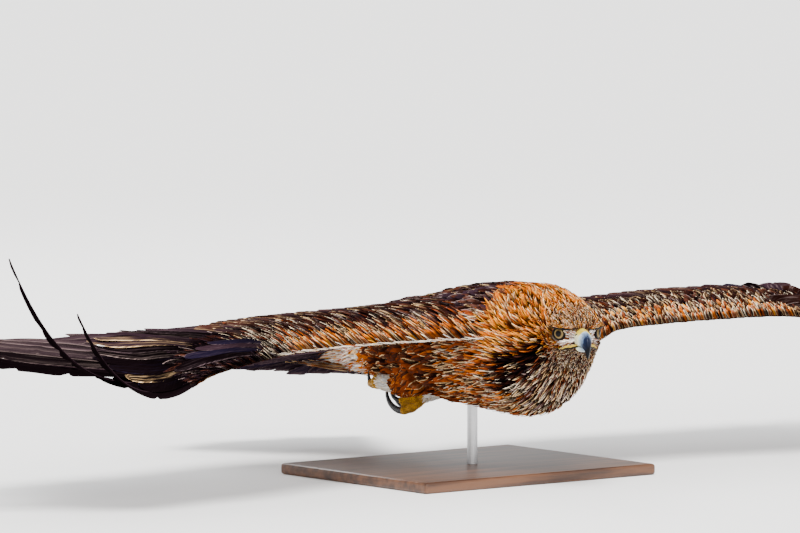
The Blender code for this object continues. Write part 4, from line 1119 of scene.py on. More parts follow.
def web(rows, full, base, tip=0.12):
    """Half width of a web along a feather: grows to its full width, then is rounded to the tip."""
    width = base + (full - base) * np.sin(0.5 * np.pi * np.minimum(rows / 0.25, 1.0))
    fall = np.clip((rows - ROUND_FROM) / (1 - ROUND_FROM), 0.0, 1.0)
    return width * (tip + (1 - tip) * np.sqrt(1 - fall**2))


def wing_patch(out, back):
    """Place of a root on the unrolled wing."""
    return np.stack((0.02 + 0.96 * np.clip(out / 0.75, 0, 1), 0.02 + 0.96 * np.clip((back + 0.12) / 0.40, 0, 1)), -1)


def strip_patches(group):
    """A strip of the map for each feather of a group, side by side."""
    count = len(group["path"])
    group["patch"] = np.stack(((np.arange(count) + 0.5) / count, np.full(count, 0.5)), -1)
    group["patch_size"] = np.array((0.9 / count, 0.96))
    return group


def rising(low, by, full):
    """The level of a feather over the wing, from low at the root and up by a height over a part of its length."""
    return lambda t: low + by * np.minimum(t / full, 1.0)


# %% Primaries and secondaries
ROUND_FROM = 0.78
PRIMARIES = 10
PRIMARY_ROOTS = ((0.472, 0.022), (0.604, -0.066))
PRIMARY_ANGLES = (10.0, 95.0)
# Number, reach, rise of the tip and how late it curls up
PRIMARY_REACH = (
    (1, 0.262, -0.002, 2.0), (2, 0.278, -0.006, 2.0), (3, 0.300, -0.012, 2.0), (4, 0.340, -0.014, 2.0),
    (5, 0.392, -0.008, 2.0), (6, 0.440, 0.014, 4.0), (7, 0.462, 0.048, 4.2), (8, 0.436, 0.096, 4.4),
    (9, 0.300, 0.168, 2.8), (10, 0.204, 0.118, 2.4),
)
SECONDARIES = 17
SINK = 0.028
FLIGHT_LEVEL = -0.0035
FLIGHT_ROWS = 64
FLIGHT_THICK = 0.0009
# Half widths of the webs before and behind the shaft
PRIMARY_LEAD, PRIMARY_TRAIL = 0.0175, 0.0560
SECONDARY_LEAD, SECONDARY_TRAIL = 0.0150, 0.0300
# Numbers of some primaries, and by how many degrees they lean over the next one
PRIMARY_LEAN = ((1, 4, 6, 8, 9), (5.0, 14.0, 24.0, 30.0, 19.0))
SECONDARY_OUT = (0.455, 0.085)
# Height over the vane, half width and thickness of a shaft, and how much lighter or darker than its paint it may be
SHAFT_LIFT = 0.0007
SHAFT_WIDE = 0.0009
SHAFT_THICK = 0.0016
SHAFT_SPREAD = 0.12


def primary_root(u):
    """Place of a primary's root, from the innermost at 0 to the outermost at 1."""
    first, last = PRIMARY_ROOTS
    return first[0] + (last[0] - first[0]) * u, first[1] + (last[1] - first[1]) * u


def primary_angle(u):
    """Direction of a primary in degrees from straight back."""
    first, last = PRIMARY_ANGLES
    return first + (last - first) * np.maximum(u, 0.0)**0.92


def split_edges(width, rows, draw, splits, deep):
    """A web's edge with a few narrow splits between its barbs."""
    made = np.array(width)
    for feather in range(len(made)):
        for place in draw.uniform(0.30, 0.97, draw.poisson(splits)):
            made[feather] *= 1 - deep * draw.random() * np.exp(-((rows - place) / 0.012)**2)
    return made


def flight_group(side, draw):
    """The primaries and secondaries of a wing, with splits in their webs."""
    rows = np.linspace(0.0, 1.0, FLIGHT_ROWS)
    flat = rising(FLIGHT_LEVEL, 0.0, 1.0)
    # Primaries: notched like fingers, the two outermost narrow and torn
    number = np.arange(1, PRIMARIES + 1)
    u = (number - 1) / (PRIMARIES - 1)
    reach, rise, curl = along(PRIMARY_REACH, number)
    notch = np.clip((number - 4.5) / 3.5, 0.0, 1.0)[:, None] * ease(rows, 0.44, 0.60)
    point = 1 - 0.66 * (number >= 9)[:, None] * ease(rows, 0.52, 0.98)
    lead = web(rows, PRIMARY_LEAD, 0.003) * (1 - 0.20 * notch) * point
    trail = web(rows, PRIMARY_TRAIL, 0.003) * (1 - 0.30 * notch) * point
    trail[8:] = split_edges(trail[8:], rows, draw, 9, 0.75)
    out, back = primary_root(u)
    groups = [wing_vanes(side, out, back, primary_angle(u) + draw.uniform(-0.7, 0.7, PRIMARIES), reach,
                         split_edges(lead, rows, draw, 2, 0.3), split_edges(trail, rows, draw, 5, 0.5), rows,
                         flat, rise, curl, 6.0, SINK,
                         np.interp(number, *PRIMARY_LEAN), 7, FLIGHT_THICK, 0.09)]
    u = np.arange(SECONDARIES) / (SECONDARIES - 1)
    out = SECONDARY_OUT[0] + (SECONDARY_OUT[1] - SECONDARY_OUT[0]) * u
    edge_back, _, _, core, _ = wing_shape(out, side)
    reach = (0.325 + 0.020 * (1 - u) - core) * draw.uniform(0.975, 1.02, SECONDARIES)
    lead = np.tile(web(rows, SECONDARY_LEAD, 0.004, 0.35), (SECONDARIES, 1))
    trail = np.tile(web(rows, SECONDARY_TRAIL, 0.004, 0.16), (SECONDARIES, 1))
    groups.append(wing_vanes(side, out, edge_back + core, 9.0 - 12.0 * u + draw.uniform(-1, 1, SECONDARIES), reach,
                             split_edges(lead, rows, draw, 2, 0.3), split_edges(trail, rows, draw, 4, 0.5), rows,
                             flat, 0.0, 3.0, 3.0, SINK, 4.5, 7, FLIGHT_THICK, 0.10))
    for group in groups:
        count = len(group["path"])
        # The outer primaries are black
        outer = np.clip((np.arange(count) - 5) / 2, 0, 1) * (count == PRIMARIES)
        dress(group, draw, {"slate": 0.32 * (1 - outer), "purple": 0.58 * (1 - outer), "dark": 0.10 * (1 - outer),
                            "black": 3.0 * outer},
              {"grey": 0.56 * (1 - outer), "purple": 0.40, "black": 2.0 * outer}, 0.08, 1.0, (0.6, 0.6))
        group["patch"] = np.zeros((count, 2))
    return strip_patches(joined(groups))


def shafts(group, draw):
    """The shafts of a group of flight feathers: narrow raised ridges that taper to the tip."""
    count = len(group["path"])
    taper = np.broadcast_to(SHAFT_WIDE * (1.0 - 0.86 * group["rows"]), group["lead"].shape)
    paint = np.array(DYES["purple"]) * draw.uniform(1 - SHAFT_SPREAD, 1 + SHAFT_SPREAD, (count, 1))
    return {**group, "path": group["path"] + group["above"] * (SHAFT_LIFT * (1 - 0.6 * group["rows"]))[None, :, None],
            "lead": taper, "trail": taper, "columns": 5, "thick": SHAFT_THICK, "arch": 0.35, "plume": paint,
            "fringe": paint, "trim": trim_numbers(count, 0.0, 1.0, draw)}


for side, word in WORDS.items():
    draw = np.random.default_rng(40 + side)
    flight = flight_group(side, draw)
    sweep_vanes("flight_feathers_" + word, flight, FLIGHT, ("wing_" + word,))
    sweep_vanes("flight_shafts_" + word, shafts(flight, draw), FLIGHT)

# %% Rows of large coverts
# Number, first and last place outward, root in parts of the core, reach outward and inward, level, width, angles.
# A row with its level below zero lies under the wing.
COVERT_ROWS = (
    (17, 0.458, 0.098, 0.93, 0.085, 0.098, 0.0024, 0.040, 8.0, -3.0),
    (20, 0.464, 0.096, 0.70, 0.060, 0.074, 0.0046, 0.032, 8.0, -2.0),
    (17, 0.450, 0.105, 0.95, 0.082, 0.095, -0.0105, 0.042, 8.0, -3.0),
    (19, 0.455, 0.100, 0.72, 0.055, 0.066, -0.0130, 0.034, 8.0, -3.0),
)
COVERT_COLUMNS = 5
# How far the roots lie ahead of the rows, under the feathers before them
COVERT_SINK = 0.016
HAND_SINK = 0.014
HAND_COVERTS = 12
ALULA = 4


def rounded(share, wide, rows):
    """Half width of a round-tipped feather on one side of its shaft."""
    return share * wide * outline("round", rows)


def covert_row(side, draw, row, rows):
    """A row of large coverts over or under the flight feathers."""
    count, start, end, at, first_reach, last_reach, rise, width, first_angle, last_angle = row
    u = np.arange(count) / (count - 1)
    out = start + (end - start) * u + draw.uniform(-0.002, 0.002, count)
    edge_back, _, _, core, _ = wing_shape(out, side)
    reach = (first_reach + (last_reach - first_reach) * u) * draw.uniform(0.94, 1.05, count)
    rooted = -0.0060 if rise < 0 else -0.0020
    wide = width * draw.uniform(0.92, 1.08, (count, 1))
    angle = first_angle + (last_angle - first_angle) * u + draw.normal(0, 1.6, count)
    group = wing_vanes(side, out, edge_back + core * at, angle, reach, rounded(0.42, wide, rows),
                       rounded(0.58, wide, rows), rows, rising(rooted, rise - rooted, 0.45), sink=COVERT_SINK,
                       columns=COVERT_COLUMNS)
    group["patch"] = wing_patch(out, edge_back + core * at)
    return group


def hand_coverts(side, draw, rows):
    """The coverts of the primaries' bases, and the alula over them at the wrist."""
    u = (np.arange(HAND_COVERTS) + 0.5) / HAND_COVERTS
    out, back = primary_root(u)
    wide = 0.038 * draw.uniform(0.92, 1.08, (HAND_COVERTS, 1))
    reach = 0.182 * (1 - 0.25 * np.abs(u - 0.5) - 0.35 * ease(u, 0.70, 1.0))
    reach = reach * draw.uniform(0.95, 1.05, HAND_COVERTS)
    coverts = wing_vanes(side, out - 0.006, back - 0.004, primary_angle(u) * 0.96, reach, rounded(0.40, wide, rows),
                         rounded(0.60, wide, rows), rows, rising(-0.0015, 0.0040, 0.45), sink=HAND_SINK,
                         columns=COVERT_COLUMNS)
    coverts["patch"] = wing_patch(out, back)
    number = np.arange(ALULA)
    out = 0.478 - 0.009 * number
    back = -0.062 + 0.007 * number
    wide = 0.024 * np.ones((ALULA, 1))
    alula = wing_vanes(side, out, back, 89.0 - 4.0 * number, 0.150 - 0.018 * number, rounded(0.38, wide, rows),
                       rounded(0.62, wide, rows), rows, rising(-0.0015, 0.0078, 0.40), sink=HAND_SINK, bend=4.0,
                       columns=COVERT_COLUMNS)
    alula["patch"] = wing_patch(out, back)
    return coverts, alula


for side, word in WORDS.items():
    draw = np.random.default_rng(50 + side)
    rows = np.linspace(0.0, 1.0, 20)
    groups = [covert_row(side, draw, row, rows) for row in COVERT_ROWS]
    for group in groups:
        dress(group, draw, {"dark": 0.30, "purple": 0.52, "brown": 0.18},
              {"grey": 0.50, "buff": 0.26, "purple": 0.24}, 0.10, 0.35, (0.5, 0.4))
    # The hand is paler on the near wing, where slate paint is a painted gloss highlight, and its outer coverts are
    # black like the primaries
    near = float(side == NEAR)
    coverts, alula = hand_coverts(side, draw, rows)
    outer = ease(np.arange(HAND_COVERTS), 6.0, 9.0)
    dress(coverts, draw, {"ink": 0.1, "black": 0.1 + 3 * outer, "slate": 0.15 * near, "dark": 0.25, "purple": 0.4},
          {"slate": 0.4 * near, "grey": 0.4 * (1 - outer), "buff": 0.2, "ink": 2 * outer}, 0.08, 0.5)
    dress(alula, draw, {"ink": 0.6 * near, "black": 0.3 * near, "slate": 0.15 * near, "dark": 1.0 - near,
                        "purple": 0.4},
          {"slate": 0.4 * near, "grey": 0.4}, 0.08, 0.5)
    sweep_vanes("large_coverts_" + word, joined([*groups, coverts, alula]), COVERT)

# %% Small coverts of the arm
# Share of the core's chord: gap back, gap outward, reach, width
SMALL_ROWS = ((0.0, 0.0048, 0.0032, 0.015, 0.0040), (0.10, 0.0070, 0.0041, 0.025, 0.0050),
              (0.30, 0.0096, 0.0052, 0.034, 0.0065), (0.60, 0.0132, 0.0074, 0.044, 0.0098),
              (0.95, 0.0180, 0.0126, 0.055, 0.0180))
SMALL_START = 0.050
SMALL_END = 0.612
SMALL_CHORD = 0.150
# The pattern of the far wing's hand begins this much farther out
FAR_SHIFT = 0.06


def small_roots(side, draw, last):
    """Places outward of the small coverts' roots, and their shares of the chord, in staggered rows."""
    outs, shares = [], []
    share = 0.004
    odd = 0.0
    while share < last:
        gap_back, gap_out = along(SMALL_ROWS, share)[:2]
        places = np.arange(SMALL_START + odd * gap_out, SMALL_END, gap_out)
        places = places + draw.uniform(-0.28, 0.28, len(places)) * gap_out
        core = wing_shape(places, side)[3]
        outs.append(places)
        shares.append(share + draw.uniform(-0.3, 0.3, len(places)) * gap_back / core)
        share += float(gap_back) / SMALL_CHORD
        odd = 0.5 - odd
    return np.concatenate(outs), np.clip(np.concatenate(shares), 0.0, 1.0)


def small_looks(group, draw, out, share, far, rim, edge):
    """Colours of the upper small coverts: warm near the leading edge, black on the hand, cream fringes on
    black at the near wrist, a pale rim along the near wing's edge, and paler buff and cream fringes on the
    far wing, which are painted light."""
    hand = ease(out - FAR_SHIFT * far, 0.44, 0.50)
    wrist = np.exp(-((out - 0.450) / 0.035)**2) * ease(share, 0.90, 0.50) * (1 - far)
    group["plume"] = mixed_paint({"dark": 0.62 * (1 - edge) + 0.20 + 0.15 * far, "brown": 0.34,
                                  "rufous": 0.30 * edge, "orange": 0.42 * edge * (1 - 0.4 * far),
                                  "gold": 0.12 * edge, "black": 0.15 + 2.5 * hand + 1.2 * wrist,
                                  "cream": 2.5 * rim}, draw, len(out))
    # On the far wing the buff and cream fringes get larger shares, as painted light on that wing
    group["fringe"] = mixed_paint({"buff": (0.15 + 0.45 * far + 0.4 * edge) * (1 - hand),
                                   "cream": (0.12 + 0.50 * far) * (1 - hand) + 1.4 * wrist,
                                   "brown": 0.20 * (1 - edge), "orange": 0.15 * edge,
                                   "rufous": 0.12 * (1 - hand), "grey": 0.25 * (1 - edge),
                                   "purple": 0.1 + 1.2 * hand, "white": 2.5 * rim}, draw, len(out))


def small_coverts(side, draw, under):
    """Scaly rows of small coverts on the upper or the under side of the arm and hand."""
    out, share = small_roots(side, draw, 0.80 if under else 0.86)
    edge_back, _, _, core, _ = wing_shape(out, side)
    back = edge_back + core * share
    reach, width = along(SMALL_ROWS, share)[2:]
    rows = np.linspace(0.0, 1.0, 7)
    hand = ease(out, 0.40, 0.60)
    far = float(side == FAR)
    # On the near wing the first feathers lie along the leading edge and make a narrow rim
    rim = ease(share, 0.014, 0.007) * (1 - ease(out, 0.44, 0.49)) * (1 - far)
    edge_slope = (wing_shape(out + 0.01, side)[0] - wing_shape(out - 0.01, side)[0]) / 0.02
    slant = -14.0 + 16.0 * share if under else 20.0 - 8.0 * share
    slant = slant + (86.0 - np.degrees(np.arctan(edge_slope)) - slant) * rim * (not under)
    angle = slant * (1 - hand) + hand * primary_angle(np.clip((out - 0.47) / 0.134, 0, 1)) * 0.9
    wide = width * (1 - 0.35 * hand) * (1 - 0.68 * rim) * (1 + 0.15 * far)
    wide = wide[:, None] * draw.uniform(0.88, 1.12, (len(out), 1))
    wide = wide * outline("lance" if under or side == NEAR else "scale", rows)
    if under:
        low, rise = -core_depth(out, back, side)[:, None] + 0.0015, -0.0035
    else:
        low, rise = -0.0012, draw.uniform(0.0022, 0.0050, (len(out), 1)) * (1 - 0.6 * rim[:, None])
    top = 0.0 if under else 0.0016 * share[:, None]
    group = wing_vanes(side, out, back, angle + draw.normal(0, 5.0, len(out)) * (1 - 0.8 * rim),
                       reach * (1 - 0.3 * hand), wide * 0.5, wide * 0.5, rows,
                       lambda t: rising(low, rise, 0.6)(t) + top, sink=0.002, tilt=3.0, arch=0.22)
    group["across"], group["above"] = rolled(group["across"], group["above"],
                                             np.radians(draw.normal(0, 8.0, len(out)))[:, None, None])
    group["patch"] = wing_patch(out, back)
    edge = ease(share, 0.28, 0.06) * (1 - ease(out - FAR_SHIFT * far, 0.410, 0.440))
    if under:
        group["plume"] = mixed_paint({"dark": 0.5, "rufous": 0.12, "brown": 0.38}, draw, len(out))
        group["fringe"] = mixed_paint({"brown": 0.5, "rufous": 0.3, "buff": 0.2}, draw, len(out))
    else:
        small_looks(group, draw, out, share, far, rim, edge)
    fringe = (0.30 + 0.10 * edge) * draw.uniform(0.7, 1.3, len(out))
    group["trim"] = trim_numbers(len(out), fringe, 0.16 + 0.6 * rim, draw)
    return group


for side, word in WORDS.items():
    draw = np.random.default_rng(60 + side)
    sweep_vanes("small_coverts_" + word, small_coverts(side, draw, False), COVERT)
    sweep_vanes("under_coverts_" + word, small_coverts(side, draw, True), BROWN)

# %% [markdown]
# ## Tail
# Twelve long feathers open like a fan, seen here almost edge on. A single curved plate would have the
# outline but no steps between the feathers. So each one is swept on its own, and coverts cover their roots.

# %% Tail feathers
RECTRICES = 12
TAIL_TIP = 0.612
TAIL_FAN = 29.0
TAIL_ROOT_WIDE = 0.034
TAIL_START = BODY_END - 0.042
TAIL_LEAD, TAIL_TRAIL = 0.0190, 0.0290


def tail_level(side, back):
    """Level of the tail's fan, which slopes down, rolls a little to the left and arches over its width."""
    out = (back - BODY_END) / (TAIL_TIP - BODY_END)
    return -0.050 - 0.225 * (back - BODY_END) - 0.15 * side * out - 0.003 * (side / 0.15)**2


def tail_vanes(u, reach, start, lead, trail, rows, level, tilt=5.0, columns=7, thick=FLIGHT_THICK):
    """Feathers of the tail's fan, from the left edge at 1 to the right edge at -1."""
    t = rows[None, :]
    sign = np.where(u > 0, 1.0, -1.0)[:, None]
    fan = np.radians(TAIL_FAN * u)[:, None]
    x = TAIL_ROOT_WIDE * u[:, None] + np.sin(fan) * reach[:, None] * t
    y = start + np.cos(fan) * reach[:, None] * t
    path = np.stack((x, y, tail_level(x, y) + level(t, u[:, None])), -1)
    lean = np.radians(tilt) + np.arctan((tail_level(x + sign * 0.01, y) - tail_level(x - sign * 0.01, y)) / 0.02)
    return leaning_vanes(path, lean, sign[..., None], lead, trail, rows, columns, thick, 0.08)


def same_hand(group, u):
    """Mirror the webs of the right half, so that all vanes of a piece turn the same way."""
    turn = (u < 0)[:, None]
    lead, trail = group["lead"], group["trail"]
    group["lead"] = np.where(turn, trail, lead)
    group["trail"] = np.where(turn, lead, trail)
    group["across"] = np.where(turn[..., None], -group["across"], group["across"])
    return group


draw = np.random.default_rng(70)
rows = np.linspace(0.0, 1.0, 48)
u = 2 * np.arange(RECTRICES) / (RECTRICES - 1) - 1
reach = (TAIL_TIP - TAIL_START) * (1 - 0.03 * np.abs(u)) * draw.uniform(0.930, 1.01, RECTRICES)
lead = np.tile(web(rows, TAIL_LEAD, 0.004, 0.35), (RECTRICES, 1))
trail = np.tile(web(rows, TAIL_TRAIL, 0.004, 0.35), (RECTRICES, 1))
tail = tail_vanes(u, reach, TAIL_START, split_edges(lead, rows, draw, 4, 0.5), split_edges(trail, rows, draw, 6, 0.5),
                  rows, lambda t, u: 0.0035 - 0.0060 * np.abs(u) * (1 - t))
dress(same_hand(tail, u), draw, {"ink": 0.3, "purple": 0.4, "black": 0.3}, {"black": 0.4, "slate": 0.6}, 0.10, 1.0,
      (0.5, 0.5))
sweep_vanes("tail_feathers", strip_patches(tail), FLIGHT, ("tail",))
sweep_vanes("tail_shafts", shafts(tail, draw), FLIGHT)

# %% Tail coverts
UPPER_LOOKS = ({"dark": 0.5, "purple": 0.3, "brown": 0.2}, {"grey": 0.7, "buff": 0.3})
UNDER_LOOKS = ({"white": 0.38, "buff": 0.2, "orange": 0.42}, {"white": 0.55, "buff": 0.25, "orange": 0.20})
# Level at the root and at the tip, reach, number, half width, outline, shortest, patch's place and paints
TAIL_TIERS = ((0.0030, 0.0085, 0.095, 9, 0.016, "round", 0.9, 0.10, UPPER_LOOKS),
              (0.0060, 0.0100, 0.060, 8, 0.014, "round", 0.9, 0.10, UPPER_LOOKS),
              (-0.0300, -0.0090, 0.125, 25, 0.0062, "lance", 0.6, 0.06, UNDER_LOOKS),
              (-0.0330, -0.0130, 0.100, 27, 0.0054, "lance", 0.6, 0.06, UNDER_LOOKS),
              (-0.0360, -0.0180, 0.075, 25, 0.0050, "lance", 0.6, 0.06, UNDER_LOOKS))
rows = np.linspace(0.0, 1.0, 14)
groups = []
for root_level, tip_level, reach, count, wide, kind, shortest, spot, looks in TAIL_TIERS:
    u = (2 * np.arange(count) / (count - 1) - 1) * 0.92 + draw.uniform(-0.03, 0.03, count)
    long = reach * (1 - 0.2 * np.abs(u)) * draw.uniform(shortest, 1.08, count)
    half = np.tile(wide * outline(kind, rows), (count, 1))
    group = tail_vanes(u, long, TAIL_START + 0.012, half, half, rows,
                       lambda t, u: root_level + (tip_level - root_level) * t, 6.0, 5, 0.0007)
    dress(same_hand(group, u), draw, *looks, 0.15, 0.7)
    group["patch"] = np.stack((0.5 + 0.4 * u, np.full(count, spot)), -1)
    groups.append(group)
sweep_vanes("tail_coverts", joined(groups), COVERT)

# %% [markdown]
# ## Legs
# The thighs wear loose brown feathers, and a golden eagle's shanks are feathered down to the toes in short
# pale down. Toes are bare, yellow and scaly, with black talons that taper to a point. Each is a swept
# tube with a finish of its own.

# %% Feathers of the legs
# Name, stretch of the leg, gaps along and across, length and its most, width, outline, levels of root and tip, lift,
# stray, paints of centres and fringes, colour left by the painted shade at the root, finish and slot
LEG_COATS = (
    ("thigh_feathers_", 0.12, 1.0, 0.085, 0.0052, 0.030, 1.2, 0.0090, "lance", -0.003, 0.0010, 0.003, 9.0,
     {"rufous": 0.40, "brown": 0.40, "orange": 0.2}, {"orange": 0.35, "buff": 0.25, "brown": 0.4}, 0.3, BROWN,
     "brown_plumage"),
    ("shank_down_", 0.92, 1.96, 0.075, 0.0026, 0.0115, 1.3, 0.0032, "tuft", -0.0022, 0.0008, 0.0016, 16.0,
     {"white": 0.6, "cream": 0.4}, {"white": 0.7, "cream": 0.3}, 0.6, DOWN, "leg_plumage"),
)
for side, word in WORDS.items():
    draw = np.random.default_rng(80 + side)
    surface = leg_surface(side)
    for (name, start, end, gap_along, gap_across, long, most, wide, kind, low, high, lift, stray, centres, fringes,
         root, finish, slot) in LEG_COATS:
        place, angle = scatter(surface, start, end, lambda p: gap_along, lambda p: gap_across, draw)
        count = len(place)
        group = surface_vanes(surface, place, angle, long * draw.uniform(0.8, most, count),
                              wide * draw.uniform(0.8, 1.2, count), draw, kind, 6, low, high, lift, 0.0, stray)
        dress(group, draw, centres, fringes, 0.3, root)
        group["patch"] = body_patch(angle, 0.45 * place)
        sweep_vanes(name + word, group, finish)


# %% Toes and talons
# Direction, slope, bend, length and thickness of a toe, then bend, length and thickness of its talon
TOES = {
    FAR: ((-4.0, -32.0, 22.0, 0.048, 0.0068, 104.0, 0.034, 0.0044),
          (30.0, -30.0, 24.0, 0.042, 0.0064, 104.0, 0.032, 0.0044),
          (-34.0, -26.0, 26.0, 0.038, 0.0060, 100.0, 0.028, 0.0038),
          (-14.0, -56.0, 48.0, 0.048, 0.0070, 132.0, 0.062, 0.0052)),
    NEAR: ((-50.0, -24.0, 30.0, 0.042, 0.0068, 100.0, 0.032, 0.0044),
           (-20.0, -26.0, 34.0, 0.034, 0.0064, 104.0, 0.024, 0.0042),
           (-80.0, -20.0, 30.0, 0.036, 0.0060, 100.0, 0.028, 0.0038),
           (-112.0, 14.0, -34.0, 0.026, 0.0062, -66.0, 0.028, 0.0046)),
}


def arc(start, turn, slope, bend, length, count):
    """Points along a planar arc: its direction about the upright, first slope, bend and length."""
    turn = math.radians(turn)
    slopes = np.radians(slope + bend * (np.arange(count) / (count - 1)))
    steps = np.stack((math.sin(turn) * np.cos(slopes), math.cos(turn) * np.cos(slopes), np.sin(slopes)), -1)
    return np.concatenate((start[None], start + np.cumsum(steps * length / count, 0)))


def scaly_finish(name, colour, dark, scale):
    """Bare skin: small plates with darker seams."""
    made, tree, shader = plain_finish(name, colour, 0.50, 0.15)
    place = object_place(tree)
    plates = tree.nodes.new("ShaderNodeTexVoronoi")
    plates.feature = "DISTANCE_TO_EDGE"
    wire(tree, plates, "Scale", scale)
    wire(tree, plates, "Vector", place)
    seam = soft_step(tree, plates.outputs["Distance"], 0.0, 0.16)
    cloud = soft_step(tree, noise_node(tree, place, 90.0, 3.0), 0.35, 0.70)
    base = mix_node(tree, cloud, colour, tuple(0.55 * c for c in colour))
    wire(tree, shader, "Base Color", mix_node(tree, seam, dark, base))
    relief(tree, shader, seam, 0.7, 0.0012)
    return made


def horn_finish(name, colour, pale, gloss):
    """Dark horn of the talons: glossy, with faint streaks."""
    made, tree, shader = plain_finish(name, colour, gloss)
    cloud = noise_node(tree, object_place(tree), 260.0, 3.0)
    wire(tree, shader, "Base Color", mix_node(tree, soft_step(tree, cloud, 0.45, 0.8), colour, pale))
    relief(tree, shader, cloud, 0.12, 0.0005)
    return made


FOOT_SKIN = scaly_finish("yellow_foot_skin", linear(222, 160, 30), linear(110, 66, 14), 420.0)
TALON = horn_finish("black_talon", linear(16, 16, 20), linear(52, 52, 60), 0.24)
for side, word in WORDS.items():
    _, ankle, heel = leg_points(side)
    down = unit(heel - ankle)
    palm = heel + down * 0.012
    pieces = [loft("pad", tube_rings([heel - down * 0.004, heel + down * 0.006, palm, palm + down * 0.010],
                                     (0.0085, 0.0103, 0.0113, 0.0050)))]
    for number, (turn, slope, bend, length, thick, claw_bend, claw_length, claw_thick) in enumerate(TOES[side]):
        turn *= side
        points = arc(palm, turn, slope, bend, length, 18)
        t = np.linspace(0, 1, len(points))
        knuckles = 1.0 + 0.07 * np.cos(2 * np.pi * 3.2 * t)
        pieces.append(loft("toe", tube_rings(points, thick * (0.95 - 0.14 * t**3) * knuckles, 20)))
        heading = unit(points[-1] - points[-2])
        claw = arc(points[-1] - heading * 0.003, turn, slope + bend, claw_bend, claw_length + 0.003, 28)
        t = np.linspace(0, 1, len(claw))
        talon = loft("claw", tube_rings(claw, claw_thick * (1 - t**1.5) + 0.0003, 20, 0.82))
        place_piece("talon_%s_%d" % (word, number + 1), talon, TALON,
                    ("claw_%s_%d" % (word, number + 1),))
    form = bmesh.new()
    for mesh in pieces:
        form.from_mesh(mesh)
    foot = bpy.data.meshes.new("foot")
    form.to_mesh(foot)
    form.free()
    foot.shade_smooth()
    place_piece("toes_" + word, foot, FOOT_SKIN, ("foot_" + word,))
print("feet and talons")

# %% [markdown]
# ## Eyes, bill and cere
# The head tells what bird this is: a pale brown eye under a heavy brow, a yellow cere, and a hooked bill
# that turns from blue-grey to black. A plain ball with a painted spot would look dead, so the iris has
# rings and streaks, and the eye is coated like wet glass.


# %% Eyes
def eye_gaze(side):
    """The direction in which an eye looks."""
    out = math.radians(42.0 if side == NEAR else 54.0)
    x, y = side * math.sin(out), -math.cos(out)
    return np.array((x * math.cos(TURN) - y * math.sin(TURN), x * math.sin(TURN) + y * math.cos(TURN), 0.0))


def eye_finish():
    """Iris, pupil and dark rim, by the distance from the eye's axis."""
    made, tree, shader = plain_finish("eye", (0.2, 0.1, 0.03), 0.30, 0.05)
    shader.inputs["Coat Weight"].default_value = 0.12
    shader.inputs["Coat Roughness"].default_value = 0.02
    turn = math_node(tree, "ADD", attribute_node(tree, "axis", "Fac"), -0.03)
    cloud = noise_node(tree, object_place(tree), 900.0, 3.0)
    stops = ((0.0, (2, 2, 3)), (0.265, (3, 3, 4)), (0.295, (42, 28, 14)), (0.37, (98, 78, 42)),
             (0.46, (126, 106, 64)), (0.53, (60, 42, 24)), (0.58, (8, 6, 5)), (1.0, (4, 4, 4)))
    wire(tree, shader, "Base Color", ramp_node(tree, math_node(tree, "MULTIPLY_ADD", cloud, 0.06, turn), stops))
    return made


EYE = eye_finish()
for side, word in WORDS.items():
    form = bmesh.new()
    bmesh.ops.create_uvsphere(form, u_segments=64, v_segments=48, radius=EYE_RADIUS)
    # The ball's faces come in another order at each run, so they are sorted by their first two corners
    form.verts.index_update()
    form.faces.sort(key=lambda face: face.verts[0].index * len(form.verts) + face.verts[1].index)
    mesh = bpy.data.meshes.new("eye")
    form.to_mesh(mesh)
    form.free()
    points = mesh_points(mesh)
    off_axis = np.arccos(np.clip(points @ eye_gaze(side) / EYE_RADIUS, -1, 1))
    add_attribute(mesh, "axis", "FLOAT", off_axis / (0.5 * np.pi) * 1.35)
    mesh.vertices.foreach_set("co", (points + EYES[side] + SHOULDER).astype(np.float32).ravel())
    mesh.shade_smooth()
    mesh.update()
    place_piece("eyeball_" + word, mesh, EYE, ("eye_" + word,))


# %% Lids and brows
def ring_tube(name, centres, radii, around=10, closed=True):
    """A tube along a closed or open line of points."""
    centres = np.asarray(centres)
    count = len(centres)
    ahead = np.roll(centres, -1, 0) - np.roll(centres, 1, 0) if closed else np.gradient(centres, axis=0)
    heading = unit(ahead)
    outer = square_to(unit(centres - centres.mean(0)), heading)
    side = np.cross(heading, outer)
    sweep = turns(around)[:, None]
    radii = np.broadcast_to(np.asarray(radii, dtype=float), count)[:, None, None]
    rings = centres[:, None] + radii * (outer[:, None] * np.cos(sweep) + side[:, None] * np.sin(sweep))
    if not closed:
        return loft(name, rings)
    sheet = side_faces(count, around, True)
    return closed_mesh(name, rings, sheet.ravel(), np.full(len(sheet), 4))


LID = scaly_finish("dark_lid_skin", linear(18, 12, 11), linear(8, 6, 6), 1500.0)
PALE_LID = scaly_finish("pale_lid_skin", linear(132, 112, 98), linear(70, 56, 48), 1500.0)
LOWER_LID_POINTS = 30
LEDGE_ROWS = 30
LEDGE_AROUND = 16
BROW_FEATHERS = 380
# Part of the ledge over an eye from the bill back, then side, back and up from the middle between the eyes, and radius
BROW = ((0.0, 0.0100, -0.0215, 0.0074, 0.0016), (0.25, 0.0190, -0.0180, 0.0082, 0.0027),
        (0.5, 0.0282, -0.0116, 0.0092, 0.0034), (0.75, 0.0348, -0.0010, 0.0102, 0.0034),
        (1.0, 0.0355, 0.0180, 0.0096, 0.0014))


def brow_middle(side, t):
    """The middle of the ledge over an eye, and its radius."""
    out, back, up, radius = along(BROW, t)
    return head_point(side * out, back, up), radius


